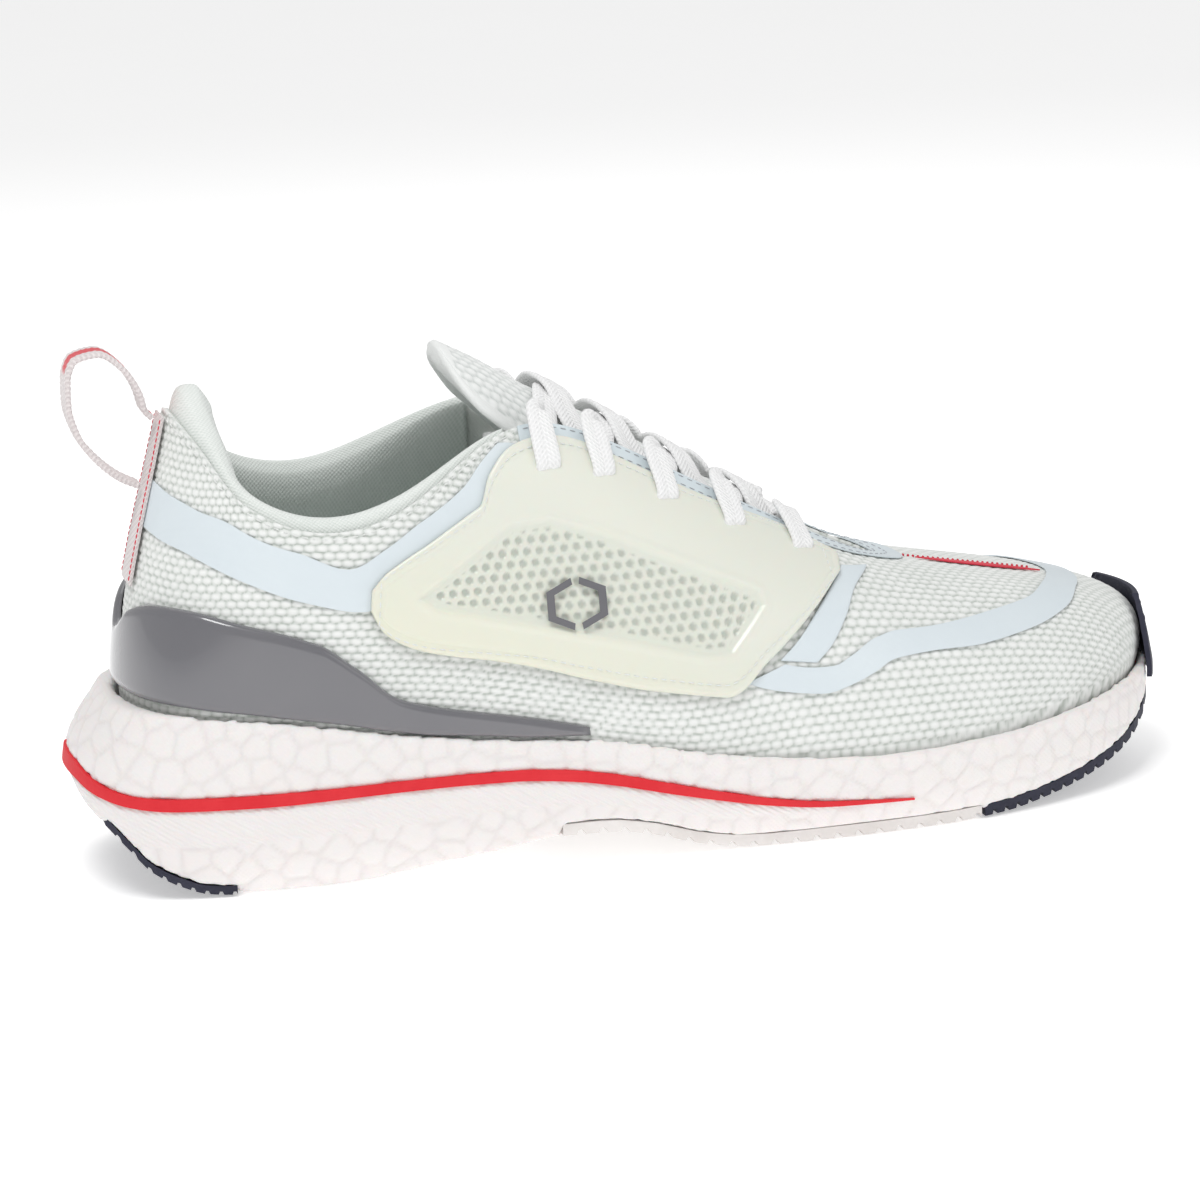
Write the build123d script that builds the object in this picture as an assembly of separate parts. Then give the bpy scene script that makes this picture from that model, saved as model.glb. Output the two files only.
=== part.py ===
from build123d import *
import math
import os

import numpy as np
from scipy.interpolate import CubicSpline, PchipInterpolator
from scipy.spatial import cKDTree

# Running shoe for the right foot, millimetres. +X points to the toe, -Y is the outer (lateral)
# side, +Z is up and the tread stands on Z = 0. While it is drawn, X is counted from the back of
# the midsole; SHIFT then puts the middle of the whole shoe's box at X = Y = 0.

# ---- driving sizes ----
MESH = 1.5              # engineered mesh of the upper
LINING = 0.8            # textile lining
COUNTER = 1.5           # moulded heel counter, between mesh and lining
PUFF = 0.8              # toe stiffener, between mesh and lining
FILM = 0.3              # welded film overlays
PANEL = 1.3             # clear moulded side panels
CLIP = 2.0              # heel clip
TAPE = 0.6              # tape down the heel
TAPE_LONG = 42.0
LAYER_GAP = 0.25        # air between layers that are glued or sewn together
CUP_GAP = 0.3           # glue line between the upper and the midsole's rim
FREE_GAP = 0.4          # air beside a piece that moves
BOARD = 1.2             # strobel board under the foot
INSOLE = 4.0            # removable insole
EYESTAY = 5.0           # width of the eyestay strip beside the throat
LACE_ZONE = 17.0        # bare mesh under the lace holes, down from the throat edge
PAD_DEEP = 24.0         # how far the collar pad reaches down inside
ROLL_HIGH = 24.0        # scale of the pad's roll over the topline
LACE_WIDTH = 6.5
LACE_THICK = 1.1
RIBBON_STEP = 3.0       # spacing of the lace's samples
RIBBON_LENGTH = 3       # samples in one length of its faces
EYELET_DEPTH = 10.0     # from the throat edge to the lace holes
EYELET_RIBS = (5.75, 6.35, 6.95, 7.6, 8.3)
STRIPE_PROUD = 0.35     # red sidewall stripe, proud of the foam
STRIPE_SUNK = 0.8
TREAD = 3.0             # rubber under the forefoot and the toe
HEEL_RUBBER = 2.2
GUARD = 1.3             # rubber guard round the tip of the toe
LOOP_WIDTH = 12.0       # webbing of the pull loop
LOOP_ROOT_WIDTH = 8.0   # gathered where it is sewn to the heel
LOOP_THICK = 1.4

# ---- the upper: ribs that rise from the footbed to the topline: heel, lateral, toe, medial ----
# Each rib is a Bezier curve: foot point, pull at the foot, pull at the top, top point.
UPPER_RIBS = (
    ((15.5, 0, 34), (-3, 0, 26), (-6, 0, -24), (30.5, 0, 115)),
    ((24, -25, 33.5), (-2, -4, 24), (-4, -5, -22), (36, -18, 107)),
    ((42, -33, 33), (0, -4, 20), (0, -5, -18), (44, -29, 95.5)),
    ((63, -36, 32), (0, -4, 17), (0, -3, -14), (62, -34, 87.5)),
    ((86, -37, 30), (0, -4, 17), (0, -4, -16), (84, -33, 92)),
    ((110, -39, 26), (0, -5, 20), (0, -8, -18), (104, -26.5, 104)),
    ((134, -42.5, 21), (0, -5, 22), (0, -14, -15), (124, -20, 106)),
    ((160, -46.5, 17.5), (0, -4, 22), (0, -17, -12), (150, -17, 93.5)),
    ((190, -48, 16), (0, -3, 22), (0, -19, -9), (176, -14.5, 79)),
    ((220, -46, 16.5), (0, -3, 24), (5, -22, -7), (198, -10, 67.5)),
    ((248, -37.5, 18), (4, -3, 28), (22, -19, -7), (208, -5, 63)),
    ((271, -21, 20), (10, -4, 31), (40, -12, -9), (211.5, -1, 61.5)),
    ((283.5, 3, 21), (16, 0, 31), (49, 0, -11), (212.5, 3, 61)),
    ((273, 27, 20), (10, 4, 31), (40, 12, -9), (211.5, 7, 61.5)),
    ((250, 40, 18), (4, 3, 28), (22, 17, -7), (208, 10, 63)),
    ((220, 44, 16.5), (0, 3, 24), (5, 20, -7), (198, 13, 67.5)),
    ((190, 43, 16), (0, 3, 22), (0, 18, -9), (176, 15, 79.5)),
    ((160, 38, 17.5), (0, 3, 24), (0, 18, -13), (150, 17, 94)),
    ((134, 34.5, 21), (0, 4, 24), (0, 14, -15), (124, 20, 107)),
    ((110, 33.5, 26), (0, 4, 22), (0, 8, -18), (106, 26.5, 106)),
    ((86, 34, 30), (0, 4, 18), (0, 4, -16), (88, 32, 97)),
    ((63, 34, 32), (0, 4, 17), (0, 3, -14), (66, 33, 91)),
    ((42, 32.5, 33), (0, 4, 20), (0, 4, -18), (46, 29, 97)),
    ((24, 24.5, 33.5), (-2, 4, 24), (-4, 5, -22), (36, 18, 108)),
)
RIBS = len(UPPER_RIBS)
TOE_RIB = 12            # rib 0 is the middle of the heel, rib 12 the middle of the toe

# Height of the footbed along the shoe.
FOOTBED = ((-5, 34), (15.5, 34), (42, 33), (63, 32), (86, 30), (110, 26), (134, 21), (160, 17.5),
           (190, 16), (220, 16.5), (248, 18), (271, 20), (295, 21.5))

# ---- the midsole: its widest outline at each rib, and how far each level lies inside it ----
SOLE_OUTLINE = (
    (0, 0), (9, -27), (34, -38.5), (60, -41.5), (86, -41.5), (110, -43), (134, -46), (160, -49.5),
    (190, -51), (220, -49.5), (250, -41), (276, -24), (288, 3), (279, 30), (253, 43.5), (220, 47.5),
    (190, 46.5), (160, 41.5), (134, 38.5), (110, 37.5), (86, 38.5), (60, 39.5), (34, 38), (9, 26),
)
SOLE_LEVELS = (-2, 3, 8, 14, 20, 26, 32, 38, 44, 50, 60)
SIDE_INSET = (6.5, 4, 1.8, 0.4, 0, 0, 0.8, 2, 3.5, 5, 8)
HEEL_INSET = (8, 5, 3, 1, 0.3, 0, 0.8, 3.5, 8.5, 12, 16)

# Side view of the midsole: the line it stands on and the top of its rim.
GROUND_LINE = ((0.5, 29), (1, 26.5), (3, 22), (7, 17.6), (11, 13), (16, 7.2), (23, 3), (29, 0.8),
               (36, 0.2), (50, 0.15), (62, 0.3), (74, 1.2), (84, 2.8), (96, 4.2), (106, 6), (116, 7.6),
               (127, 7.8), (137, 6.4), (151, 2.2), (161, 0.4), (170, 0), (216, 0), (232, 0.4),
               (244, 2), (254, 4), (264, 6.7), (273, 10.2), (281, 15), (289, 21.4), (291, 24))
RIM_LINE = ((-4, 46), (12, 46), (30, 45), (50, 42.4), (63, 40), (88, 35.3), (105, 33.2), (125, 31.6),
            (156, 25.6), (180, 22.4), (201, 21.2), (231, 22.1), (254, 24), (275, 26.2), (296, 29))

# Red stripe on the sidewall, from its point below the ball round the heel.
STRIPE_TOP = ((-2, 33), (1, 31.6), (4, 29.2), (8, 27.5), (13, 26.5), (22, 26), (41, 26), (72, 26),
              (104, 25.8), (118, 24.7), (128, 23), (144, 19), (158, 15.5), (168, 13.2), (182, 10.9),
              (193, 10), (206, 8.9))
STRIPE_BOTTOM = ((-2, 29), (1, 28), (4, 26), (8, 24.6), (13, 23.6), (22, 23), (41, 23), (72, 23.4),
                 (104, 23.1), (118, 21.9), (128, 20.2), (144, 16.4), (158, 13.3), (168, 11.3),
                 (182, 9.4), (193, 8.9), (206, 8.5))
STRIPE_END_RIB = 8.5

# ---- outlines on the upper, as (x, y, z) close to its surface on the lateral side ----
PANEL_LOW = ((72, -38, 68), (74, -38, 63), (81, -40, 58), (90, -40, 55.7), (100, -41, 53.3),
             (112, -42, 50), (125, -45, 46.3), (140, -47, 42.5), (157, -49, 39), (170, -43, 47),
             (184, -33, 56.5), (193.5, -24, 62))
PANEL_HIGH = ((72.5, -38, 73), (77, -38, 77), (85, -37, 81.5), (94, -36, 86), (100.5, -34, 90),
              (104, -30, 97), (111, -26, 102.5), (124, -23, 103), (142, -21, 94), (160, -19, 84),
              (180, -17, 74), (195, -16, 65))
HEEL_FILM_LOW = ((20, -8, 88.6), (24, -19, 86.5), (31, -27, 83), (43, -34, 77), (57, -37, 71.2),
                 (71, -38, 68), (80, -38, 76.5), (90, -36, 82.5), (99, -34, 87.5), (104, -31, 93),
                 (107, -28, 99), (113, -25, 103))
HEEL_FILM_HIGH = ((22, -8, 100), (26, -19, 97.5), (33, -27, 94), (42, -30, 90), (55, -35, 83.5),
                  (68, -36, 78.5), (77, -36, 82.5), (86, -35, 88), (93, -32, 91.5), (98, -31, 95),
                  (102, -28, 99.5), (108, -26, 104))
TOE_FILM_LOW = ((163, -46, 42), (172, -47, 39), (183, -46, 37.5), (190, -45, 38.5), (197, -43, 41),
                (204, -40, 43.5), (215, -36, 43.6), (229, -31, 43), (244, -24, 44), (256, -16, 45.5),
                (264, -8, 47.5), (268, 3, 48.5))
TOE_FILM_HIGH = ((174, -42, 45.5), (180, -43, 44), (186, -43, 43.5), (192, -41, 45.5),
                 (199, -37, 48.5), (206, -34, 49), (217, -31, 48.5), (231, -25, 48.5),
                 (245, -18, 49), (254, -11, 50.5), (259, -5, 51.5), (261, 3, 52))
TAB_REAR = ((178, -39, 50.5), (185, -32, 56.5), (190, -28, 60), (195.5, -20, 63.5))
TAB_FRONT = ((187, -40, 48), (191, -33, 54), (196, -26, 59), (203, -17, 61.5))
CLIP_LOW = ((15, 0, 48), (18, -13, 47.6), (29, -28, 46.6), (39, -34, 45.2), (50, -37, 43.4),
            (63, -38, 40.8), (74, -39, 38.4), (88, -40, 35.9), (105, -41, 33.8), (124, -43, 32.4))
CLIP_HIGH = ((15, 0, 62.8), (17, -13, 68), (22, -24, 71), (35, -33, 69), (48, -36, 65.3),
             (58, -37, 61.5), (68, -38, 54.5), (78, -39, 46), (96, -41, 41), (124, -43, 34.6))
PRINT_LOW = ((223.5, -2.2, 57), (231, -3, 55.3), (243, -3.4, 53.5), (258, -2.6, 51.4))
PRINT_HIGH = ((223.5, -1.6, 57), (231, -1, 55.3), (243, -0.8, 53.5), (258, -1.8, 51.4))
EMBLEM_AT = (122.5, -44, 65)
EMBLEM_RADIUS = 8.5
EMBLEM_BAR = 2.2
EMBLEM_PROUD = 0.5

# ---- the tongue: its ridge from the sewn base to the top, half widths and droop of its sides ----
TONGUE_RIDGE = ((217, 53.6), (211, 57.4), (204, 62.5), (197, 67.5), (182, 77), (165, 87), (150, 96.5),
                (141, 102), (130, 108.5), (120, 114), (110, 120.5), (99, 126.5))
TONGUE_HALF = (9, 13, 16, 19, 22.5, 24.5, 25.5, 25.2, 24, 21.2, 18.5, 15)
TONGUE_DROOP = (0.045, 0.05, 0.055, 0.055, 0.047, 0.04, 0.038, 0.037, 0.036, 0.036, 0.038, 0.04)
TONGUE_MIDDLE_Y = 1.5
TONGUE_PAD = 4.5
TONGUE_EDGE = 1.6

# ---- the pull loop: middle line of its webbing, side view ----
LOOP_PATH = ((27.3, 113.4), (25.6, 115.4), (24.6, 119.5), (21, 126), (15, 130.2), (9.5, 129),
             (7.4, 124), (7.2, 118), (9, 110.5), (13.5, 103.8), (18.6, 99.2), (23.0, 96.85))


# ============================ curves and surfaces of the shoe ============================
def curve_through(points):
    """Smooth height of a side-view line as a function of x."""
    xs, zs = np.array(points, float).T
    return PchipInterpolator(xs, zs, extrapolate=True)


def ring_spline(rows):
    """Closed smooth spline through one row of numbers for each rib."""
    rows = np.array(rows, float).reshape(RIBS, -1)
    return CubicSpline(np.arange(RIBS + 1), np.concatenate([rows, rows[:1]]), bc_type="periodic")


def rib_controls():
    """Bezier controls of every rib as absolute points."""
    rows = []
    for foot, pull_foot, pull_top, top in UPPER_RIBS:
        foot, top = np.array(foot, float), np.array(top, float)
        rows.append([foot, foot + pull_foot, top + pull_top, top])
    return rows


UPPER = ring_spline(rib_controls())
SOLE = ring_spline(SOLE_OUTLINE)
footbed_z = curve_through(FOOTBED)
ground_z = curve_through(GROUND_LINE)
rim_z = curve_through(RIM_LINE)
stripe_top = curve_through(STRIPE_TOP)
stripe_bottom = curve_through(STRIPE_BOTTOM)
side_inset = PchipInterpolator(SOLE_LEVELS, SIDE_INSET)
heel_inset = PchipInterpolator(SOLE_LEVELS, HEEL_INSET)


def smooth_step(x):
    """0 below 0, 1 above 1 and a smooth ramp between."""
    x = np.clip(x, 0, 1)
    return x * x * (3 - 2 * x)


def ribs_from(rib, middle):
    """How many ribs away from a middle rib, the short way round."""
    return np.abs((np.asarray(rib, float) - middle + RIBS / 2) % RIBS - RIBS / 2)


def upper_point(rib, v):
    """Outer surface of the upper: rib once round from the heel, v from footbed (0) to topline (1)."""
    rib, v = np.broadcast_arrays(np.asarray(rib, float), np.asarray(v, float))
    controls = UPPER(rib % RIBS).reshape(*rib.shape, 4, 3)
    w = np.stack([(1 - v) ** 3, 3 * v * (1 - v) ** 2, 3 * v**2 * (1 - v), v**3], -1)
    return (controls * w[..., None]).sum(-2)


def upper_normal(rib, v):
    """Outward unit normal of the upper; at the middle of heel and toe it stays in the XZ plane."""
    e = 1e-3
    rib, v = np.broadcast_arrays(np.asarray(rib, float), np.asarray(v, float))
    along = upper_point(rib + e, v) - upper_point(rib - e, v)
    rise = upper_point(rib, np.clip(v + e, 0, 1)) - upper_point(rib, np.clip(v - e, 0, 1))
    n = np.cross(along, rise)
    n[..., 1] = np.where(np.isclose(rib % TOE_RIB, 0), 0, n[..., 1])
    return n / np.linalg.norm(n, axis=-1, keepdims=True)


def skin(rib, v, depth):
    """Point at a depth from the upper's outer surface, outward positive."""
    rib, v, depth = np.broadcast_arrays(rib, v, depth)
    return upper_point(rib, v) + upper_normal(rib, v) * depth[..., None]


def v_below(rib, below):
    """v of the point that lies this far down the rib from the topline."""
    rib, below = np.broadcast_arrays(np.asarray(rib, float), np.asarray(below, float))
    v = np.linspace(1, 0, 80)
    out = np.empty(rib.shape)
    for at in np.ndindex(rib.shape):
        line = upper_point(rib[at], v)
        length = np.concatenate([[0], np.cumsum(np.linalg.norm(np.diff(line, axis=0), axis=1))])
        out[at] = np.interp(below[at], length, v)
    return out


def skin_below(rib, below, depth):
    """Like skin(), but measured in millimetres down from the topline; negative goes above it."""
    rib, below, depth = np.broadcast_arrays(np.asarray(rib, float), below, depth)
    v = v_below(rib, np.maximum(below, 0))
    up = upper_point(rib, 1.0) - upper_point(rib, 0.97)
    up = up / np.linalg.norm(up, axis=-1, keepdims=True)
    return skin(rib, v, depth) + up * np.maximum(-below, 0)[..., None]


GRID_RIB, GRID_V = np.meshgrid(np.linspace(-1, 13, 561), np.linspace(0, 1, 161), indexing="ij")
GRID_TREE = cKDTree(upper_point(GRID_RIB, GRID_V).reshape(-1, 3) * (1, 0.35, 1))


def on_upper(points):
    """(rib, v) of the lateral surface points nearest to rough (x, y, z) places; y counts least."""
    nearest = GRID_TREE.query(np.array(points, float) * (1, 0.35, 1))[1]
    return np.stack([GRID_RIB.ravel()[nearest], GRID_V.ravel()[nearest]], -1)


def sole_point(rib, level):
    """Sidewall of the midsole at a rib and a level above the ground."""
    rib, level = np.broadcast_arrays(np.asarray(rib, float), np.asarray(level, float))
    along = SOLE(rib % RIBS, 1)
    outward = np.stack([along[..., 1], -along[..., 0]], -1)
    outward /= np.linalg.norm(outward, axis=-1, keepdims=True)
    at_heel = 1 - smooth_step(ribs_from(rib, 0) / 2)
    level_in = np.clip(level, SOLE_LEVELS[0], SOLE_LEVELS[-1])
    inset = side_inset(level_in) * (1 - at_heel) + heel_inset(level_in) * at_heel
    plan = SOLE(rib % RIBS) - outward * inset[..., None]
    return np.concatenate([plan, level[..., None]], -1)


# ============================ solids from grids of points ============================
def spline_edge(points):
    return Edge.make_spline([Vector(*p) for p in points])


def grid_face(grid):
    rows = [[Vector(*p) for p in row] for row in grid]
    return Face.make_surface_from_array_of_points(rows, tol=0.005)


def edge_along(face, row):
    """The edge of a grid face that runs along one border row of its points."""
    middle = Vector(*row[len(row) // 2])

    def misfit(edge):
        return min((edge.position_at(t) - middle).length for t in np.linspace(0.2, 0.8, 25))

    return min(face.edges(), key=misfit)


def outward_solid(faces):
    """Solid from faces that close on each other, turned right side out."""
    solid = Solid(Shell(faces))
    return solid if solid.volume > 0 else Solid(Shell([-face for face in Shell(faces).faces()]))


def patch_solid(outer, inner):
    """Solid between two grids of points, closed by ruled sides."""
    outer_face, inner_face = grid_face(outer), grid_face(inner)
    faces = [outer_face, inner_face]
    for row in (np.s_[0], np.s_[-1], np.s_[:, 0], np.s_[:, -1]):
        low, high = edge_along(outer_face, outer[row]), edge_along(inner_face, inner[row])
        faces.append(Face.make_surface_from_curves(low, high))
    return outward_solid(faces)


def ring_solid(outer, inner, cutters=((), ()), steps=28, rows=12):
    """Closed ring round the upper, lofted in two halves that meet at the heel and the toe."""
    halves = []
    for (first, last), cuts in zip(((0, TOE_RIB), (TOE_RIB, RIBS)), cutters):
        wires = []
        spread = (1 - np.cos(np.pi * np.linspace(0, 1, steps + 1))) / 2
        for rib in first + (last - first) * spread:
            out_row, in_row = outer(rib, np.linspace(0, 1, rows)), inner(rib, np.linspace(0, 1, rows))
            wires.append(Wire([
                spline_edge(out_row), Edge.make_line(Vector(*out_row[-1]), Vector(*in_row[-1])),
                spline_edge(in_row), Edge.make_line(Vector(*in_row[0]), Vector(*out_row[0])),
            ]))
        half = Solid.make_loft(wires)
        for cut in cuts:
            half = half - cut
        halves.append(half)
    return halves[0] + halves[1]


def resample(points, count):
    """Evenly spread points on a smooth line through a few rows of numbers."""
    points = np.array(points, float)
    step = np.linalg.norm(np.diff(points, axis=0), axis=1) ** 0.5
    at = np.concatenate([[0], np.cumsum(step)])
    return PchipInterpolator(at / at[-1], points)(np.linspace(0, 1, count))


def band_grid(low, high, count, across):
    """(rib, v) grid between two border lines that were dropped onto the upper."""
    low_line, high_line = resample(low, count), resample(high, count)
    t = np.linspace(0, 1, across)[None, :, None]
    return low_line[:, None] * (1 - t) + high_line[:, None] * t


def overlay(low, high, depth_in, depth_out, count=40, across=8, mirror=False):
    """Layer of even thickness on the upper between two border lines."""
    grid = band_grid(low, high, count, across)
    rib, v = grid[..., 0], grid[..., 1]
    rib = RIBS - rib if mirror else rib
    return patch_solid(skin(rib, v, depth_out), skin(rib, v, depth_in))


def whole_line(half_line):
    """Border line of the lateral half, carried on round the toe or the heel to the medial half."""
    line = half_line.copy()
    if line[0, 0] < 1:
        line[0, 0] = 0
        return np.concatenate([line[:0:-1] * (-1, 1), line])
    line[-1, 0] = TOE_RIB
    back = line[-2::-1]
    return np.concatenate([line, np.stack([RIBS - back[:, 0], back[:, 1]], -1)])


# ============================ upper ============================
def lining_depth(rib):
    """Depth of the lining's outer face: deeper where the counter or the toe stiffener is."""
    counter = (COUNTER + LAYER_GAP) * (1 - smooth_step((ribs_from(rib, 0) - 3.5) / 1.2))
    puff = (PUFF + LAYER_GAP) * (1 - smooth_step((ribs_from(rib, TOE_RIB) - 2.1) / 0.8))
    return -(MESH + LAYER_GAP) - counter - puff


def lining_top(rib):
    """How far below the topline the lining ends; the collar pad takes over at the ankle."""
    return LACE_ZONE + (PAD_DEEP - LACE_ZONE) * (1 - smooth_step((ribs_from(rib, 0) - 4.2) / 1.4))


def make_upper_mesh():
    cutters = eyelet_cutters(0), eyelet_cutters(1)
    return ring_solid(lambda rib, v: skin(rib, v, 0.0), lambda rib, v: skin(rib, v, -MESH), cutters)


def make_upper_lining():
    def wall(rib, t, extra):
        v = t * v_below(rib, lining_top(rib))
        return skin(rib, v, lining_depth(rib) - extra)
    return ring_solid(lambda rib, t: wall(rib, t, 0.0), lambda rib, t: wall(rib, t, LINING))


def make_heel_counter():
    rib, t = np.meshgrid(np.linspace(-3.3, 3.3, 40), np.linspace(0, 1, 10), indexing="ij")
    v = 0.03 + t * (0.52 - 0.1 * np.abs(rib / 3.3) ** 2)
    depth = -(MESH + LAYER_GAP)
    return patch_solid(skin(rib, v, depth), skin(rib, v, depth - COUNTER))


def make_toe_puff():
    rib, t = np.meshgrid(np.linspace(-2, 2, 31), np.linspace(0, 1, 10), indexing="ij")
    v = 0.05 + t * (0.5 - 0.14 * (rib / 2) ** 2)
    depth = -(MESH + LAYER_GAP)
    return patch_solid(skin(TOE_RIB + rib, v, depth), skin(TOE_RIB + rib, v, depth - PUFF))


def make_collar_pad():
    """Padded collar: a cushion inside the topline that rolls over its edge."""
    rib = np.linspace(-5.35, 5.35, 70)
    plump = 1 + 0.85 * (1 - smooth_step(np.abs(rib) / 1.8)) - 0.6 * smooth_step((np.abs(rib) - 3.6) / 1.7)
    low = PAD_DEEP - 0.3 + (LACE_ZONE - PAD_DEEP) * smooth_step((np.abs(rib) - 4.2) / 1.4)
    t = np.linspace(0, 1, 12)
    back_at, front_at = (0, 0.55, 0.7, 0.85, 1), (0, 0.25, 0.6, 0.8, 0.9, 1)

    def sheet(shares, bulge):
        """Surface of the cushion: shares of its depth below the topline, negative above it."""
        below = np.where(shares > 0, shares * low[:, None], shares * ROLL_HIGH * plump[:, None])
        return skin_below(rib[:, None] % RIBS, below, -(MESH + LAYER_GAP) - bulge * plump[:, None])

    back = sheet(np.interp(t, back_at, (1, 0, -0.06, -0.12, -0.145)),
                 np.interp(t, back_at, (0, 0, 0.05, 0.4, 2.2)))
    front = sheet(np.interp(t, front_at, (1, 0.8, 0.35, 0.08, -0.06, -0.14)),
                  np.interp(t, front_at, (0.9, 2.6, 5.6, 6.0, 5.4, 3.2)))
    return patch_solid(back, front)


def make_eyestay():
    """Strip of film that follows the throat edge as one long U."""
    rib, t = np.meshgrid(np.linspace(5.5, RIBS - 5.5, 90), np.linspace(0, 1, 6), indexing="ij")
    width = EYESTAY + 3.5 * (1 - smooth_step((ribs_from(rib, TOE_RIB) - 1.4) / 1.2))
    v = v_below(rib, t * width)
    return patch_solid(skin(rib, v, LAYER_GAP + FILM), skin(rib, v, LAYER_GAP))


def make_side_panel(mirror):
    depth = LAYER_GAP + FILM + LAYER_GAP
    low, high = on_upper(PANEL_LOW), on_upper(PANEL_HIGH)
    panel = overlay(low, high, depth, depth + PANEL, 60, 14, mirror)
    for cut in eyelet_cutters(1 if mirror else 0):
        panel = panel - cut
    return panel


def make_heel_film(mirror):
    return overlay(on_upper(HEEL_FILM_LOW), on_upper(HEEL_FILM_HIGH), LAYER_GAP, LAYER_GAP + FILM, 60, 6, mirror)


def make_toe_film():
    low, high = whole_line(on_upper(TOE_FILM_LOW)), whole_line(on_upper(TOE_FILM_HIGH))
    return overlay(low, high, LAYER_GAP, LAYER_GAP + FILM, 120, 6)


def make_throat_tab(mirror):
    return overlay(on_upper(TAB_REAR), on_upper(TAB_FRONT), LAYER_GAP, LAYER_GAP + FILM, 16, 6, mirror)


def make_heel_clip():
    low, high = whole_line(on_upper(CLIP_LOW)), whole_line(on_upper(CLIP_HIGH))
    return overlay(low, high, LAYER_GAP, LAYER_GAP + CLIP, 100, 8)


def make_heel_tape():
    rib, t = np.meshgrid(np.linspace(-0.24, 0.24, 9), np.linspace(0, 1, 30), indexing="ij")
    v = v_below(rib, 1.0 + t * TAPE_LONG)
    depth = LAYER_GAP + FILM + LAYER_GAP
    return patch_solid(skin(rib % RIBS, v, depth + TAPE), skin(rib % RIBS, v, depth))


def make_vamp_print():
    return overlay(on_upper(PRINT_LOW), on_upper(PRINT_HIGH), LAYER_GAP, LAYER_GAP + FILM, 16, 3)


def make_emblem(first, last):
    """One half of a split six-sided ring, a plain mark, on the lateral panel."""
    middle = on_upper([EMBLEM_AT])[0]
    centre = upper_point(*middle)
    angle = np.radians(np.linspace(first, last, 31))
    corner = np.cos(np.pi / 6) / np.cos((angle + np.pi / 6) % (np.pi / 3) - np.pi / 6)
    depth = LAYER_GAP + FILM + LAYER_GAP + PANEL + LAYER_GAP

    def border(radius):
        places = [(centre[0] + radius * c * math.cos(a), centre[1], centre[2] + 0.78 * radius * c * math.sin(a))
                  for a, c in zip(angle, corner)]
        return refine_on_upper(places, middle)

    outer, inner = border(EMBLEM_RADIUS), border(EMBLEM_RADIUS - EMBLEM_BAR)
    t = np.linspace(0, 1, 4)[None, :, None]
    grid = outer[:, None] * (1 - t) + inner[:, None] * t
    rib, v = grid[..., 0], grid[..., 1]
    return patch_solid(skin(rib, v, depth + EMBLEM_PROUD), skin(rib, v, depth))


def refine_on_upper(places, start):
    """(rib, v) with exactly the x and z of each place, by Newton steps from a start."""
    out = []
    for place in places:
        at = np.array(start, float)
        for _ in range(12):
            p = upper_point(*at)
            e = 1e-4
            by_rib = (upper_point(at[0] + e, at[1]) - p)[[0, 2]] / e
            by_v = (upper_point(at[0], at[1] + e) - p)[[0, 2]] / e
            at += np.linalg.solve(np.stack([by_rib, by_v], -1), np.array(place)[[0, 2]] - p[[0, 2]])
        out.append(at)
    return np.array(out)


# ============================ tongue ============================
TONGUE_X, TONGUE_Z = np.array(TONGUE_RIDGE, float).T
ridge_by_x = PchipInterpolator(TONGUE_X[::-1], TONGUE_Z[::-1], extrapolate=True)
droop_by_x = PchipInterpolator(TONGUE_X[::-1], np.array(TONGUE_DROOP)[::-1], extrapolate=True)


def tongue_height(x, y):
    """Top surface of the tongue."""
    return ridge_by_x(x) - droop_by_x(x) * (np.asarray(y) - TONGUE_MIDDLE_Y * (x > 0)) ** 2


def make_tongue():
    """Padded tongue: a curved tapering pad, thin at its edges."""
    s = resample(np.stack([TONGUE_X, TONGUE_Z, TONGUE_HALF], -1), 44)
    t = np.linspace(-1, 1, 15)[None, :]
    x, half = s[:, :1] + 0 * t, s[:, 2:3]
    y = TONGUE_MIDDLE_Y + half * t
    top = np.stack([x, y, tongue_height(x, y)], -1)
    slope = np.gradient(s[:, 1], s[:, 0])[:, None]
    side = -2 * droop_by_x(x) * (y - TONGUE_MIDDLE_Y)
    normal = np.stack([-slope + 0 * t, -side, 1 + 0 * x], -1)
    normal /= np.linalg.norm(normal, axis=-1, keepdims=True)
    ends = np.minimum(np.linspace(0, 1, 44) * 8, np.linspace(1, 0, 44) * 10).clip(0, 1)[:, None]
    thick = TONGUE_EDGE + TONGUE_PAD * (1 - t**4) * smooth_step(ends)
    return patch_solid(top, top - normal * thick[..., None])


# ============================ lace ============================
def eyelet(side, row, below, depth):
    """Place beside a lace hole: side 0 lateral, 1 medial; row 0 is the ankle end."""
    rib = EYELET_RIBS[row]
    return skin_below(RIBS - rib if side else rib, below, depth)


def eyelet_frame(side, row):
    """Outward normal and the direction from the hole to the throat edge."""
    rib = RIBS - EYELET_RIBS[row] if side else EYELET_RIBS[row]
    normal = upper_normal(rib, v_below(rib, EYELET_DEPTH))
    toward = eyelet(side, row, EYELET_DEPTH - 2, 0.0) - eyelet(side, row, EYELET_DEPTH + 2, 0.0)
    return normal, toward / np.linalg.norm(toward)


SLOT_CLEAR = 0.5
OVER = LAYER_GAP * 3 + FILM + PANEL + LACE_THICK / 2        # lace on top of the side panel
UNDER = -(MESH + 0.5 + LACE_THICK / 2)  # lace below the mesh
INSIDE = UNDER - LINING - LAYER_GAP     # lace inside the lining
TURN = (OVER - UNDER) / 2
EDGE_OVER, EDGE_UNDER = -2.3, 1.0       # where the lace clears the throat edge, above and below it


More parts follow.
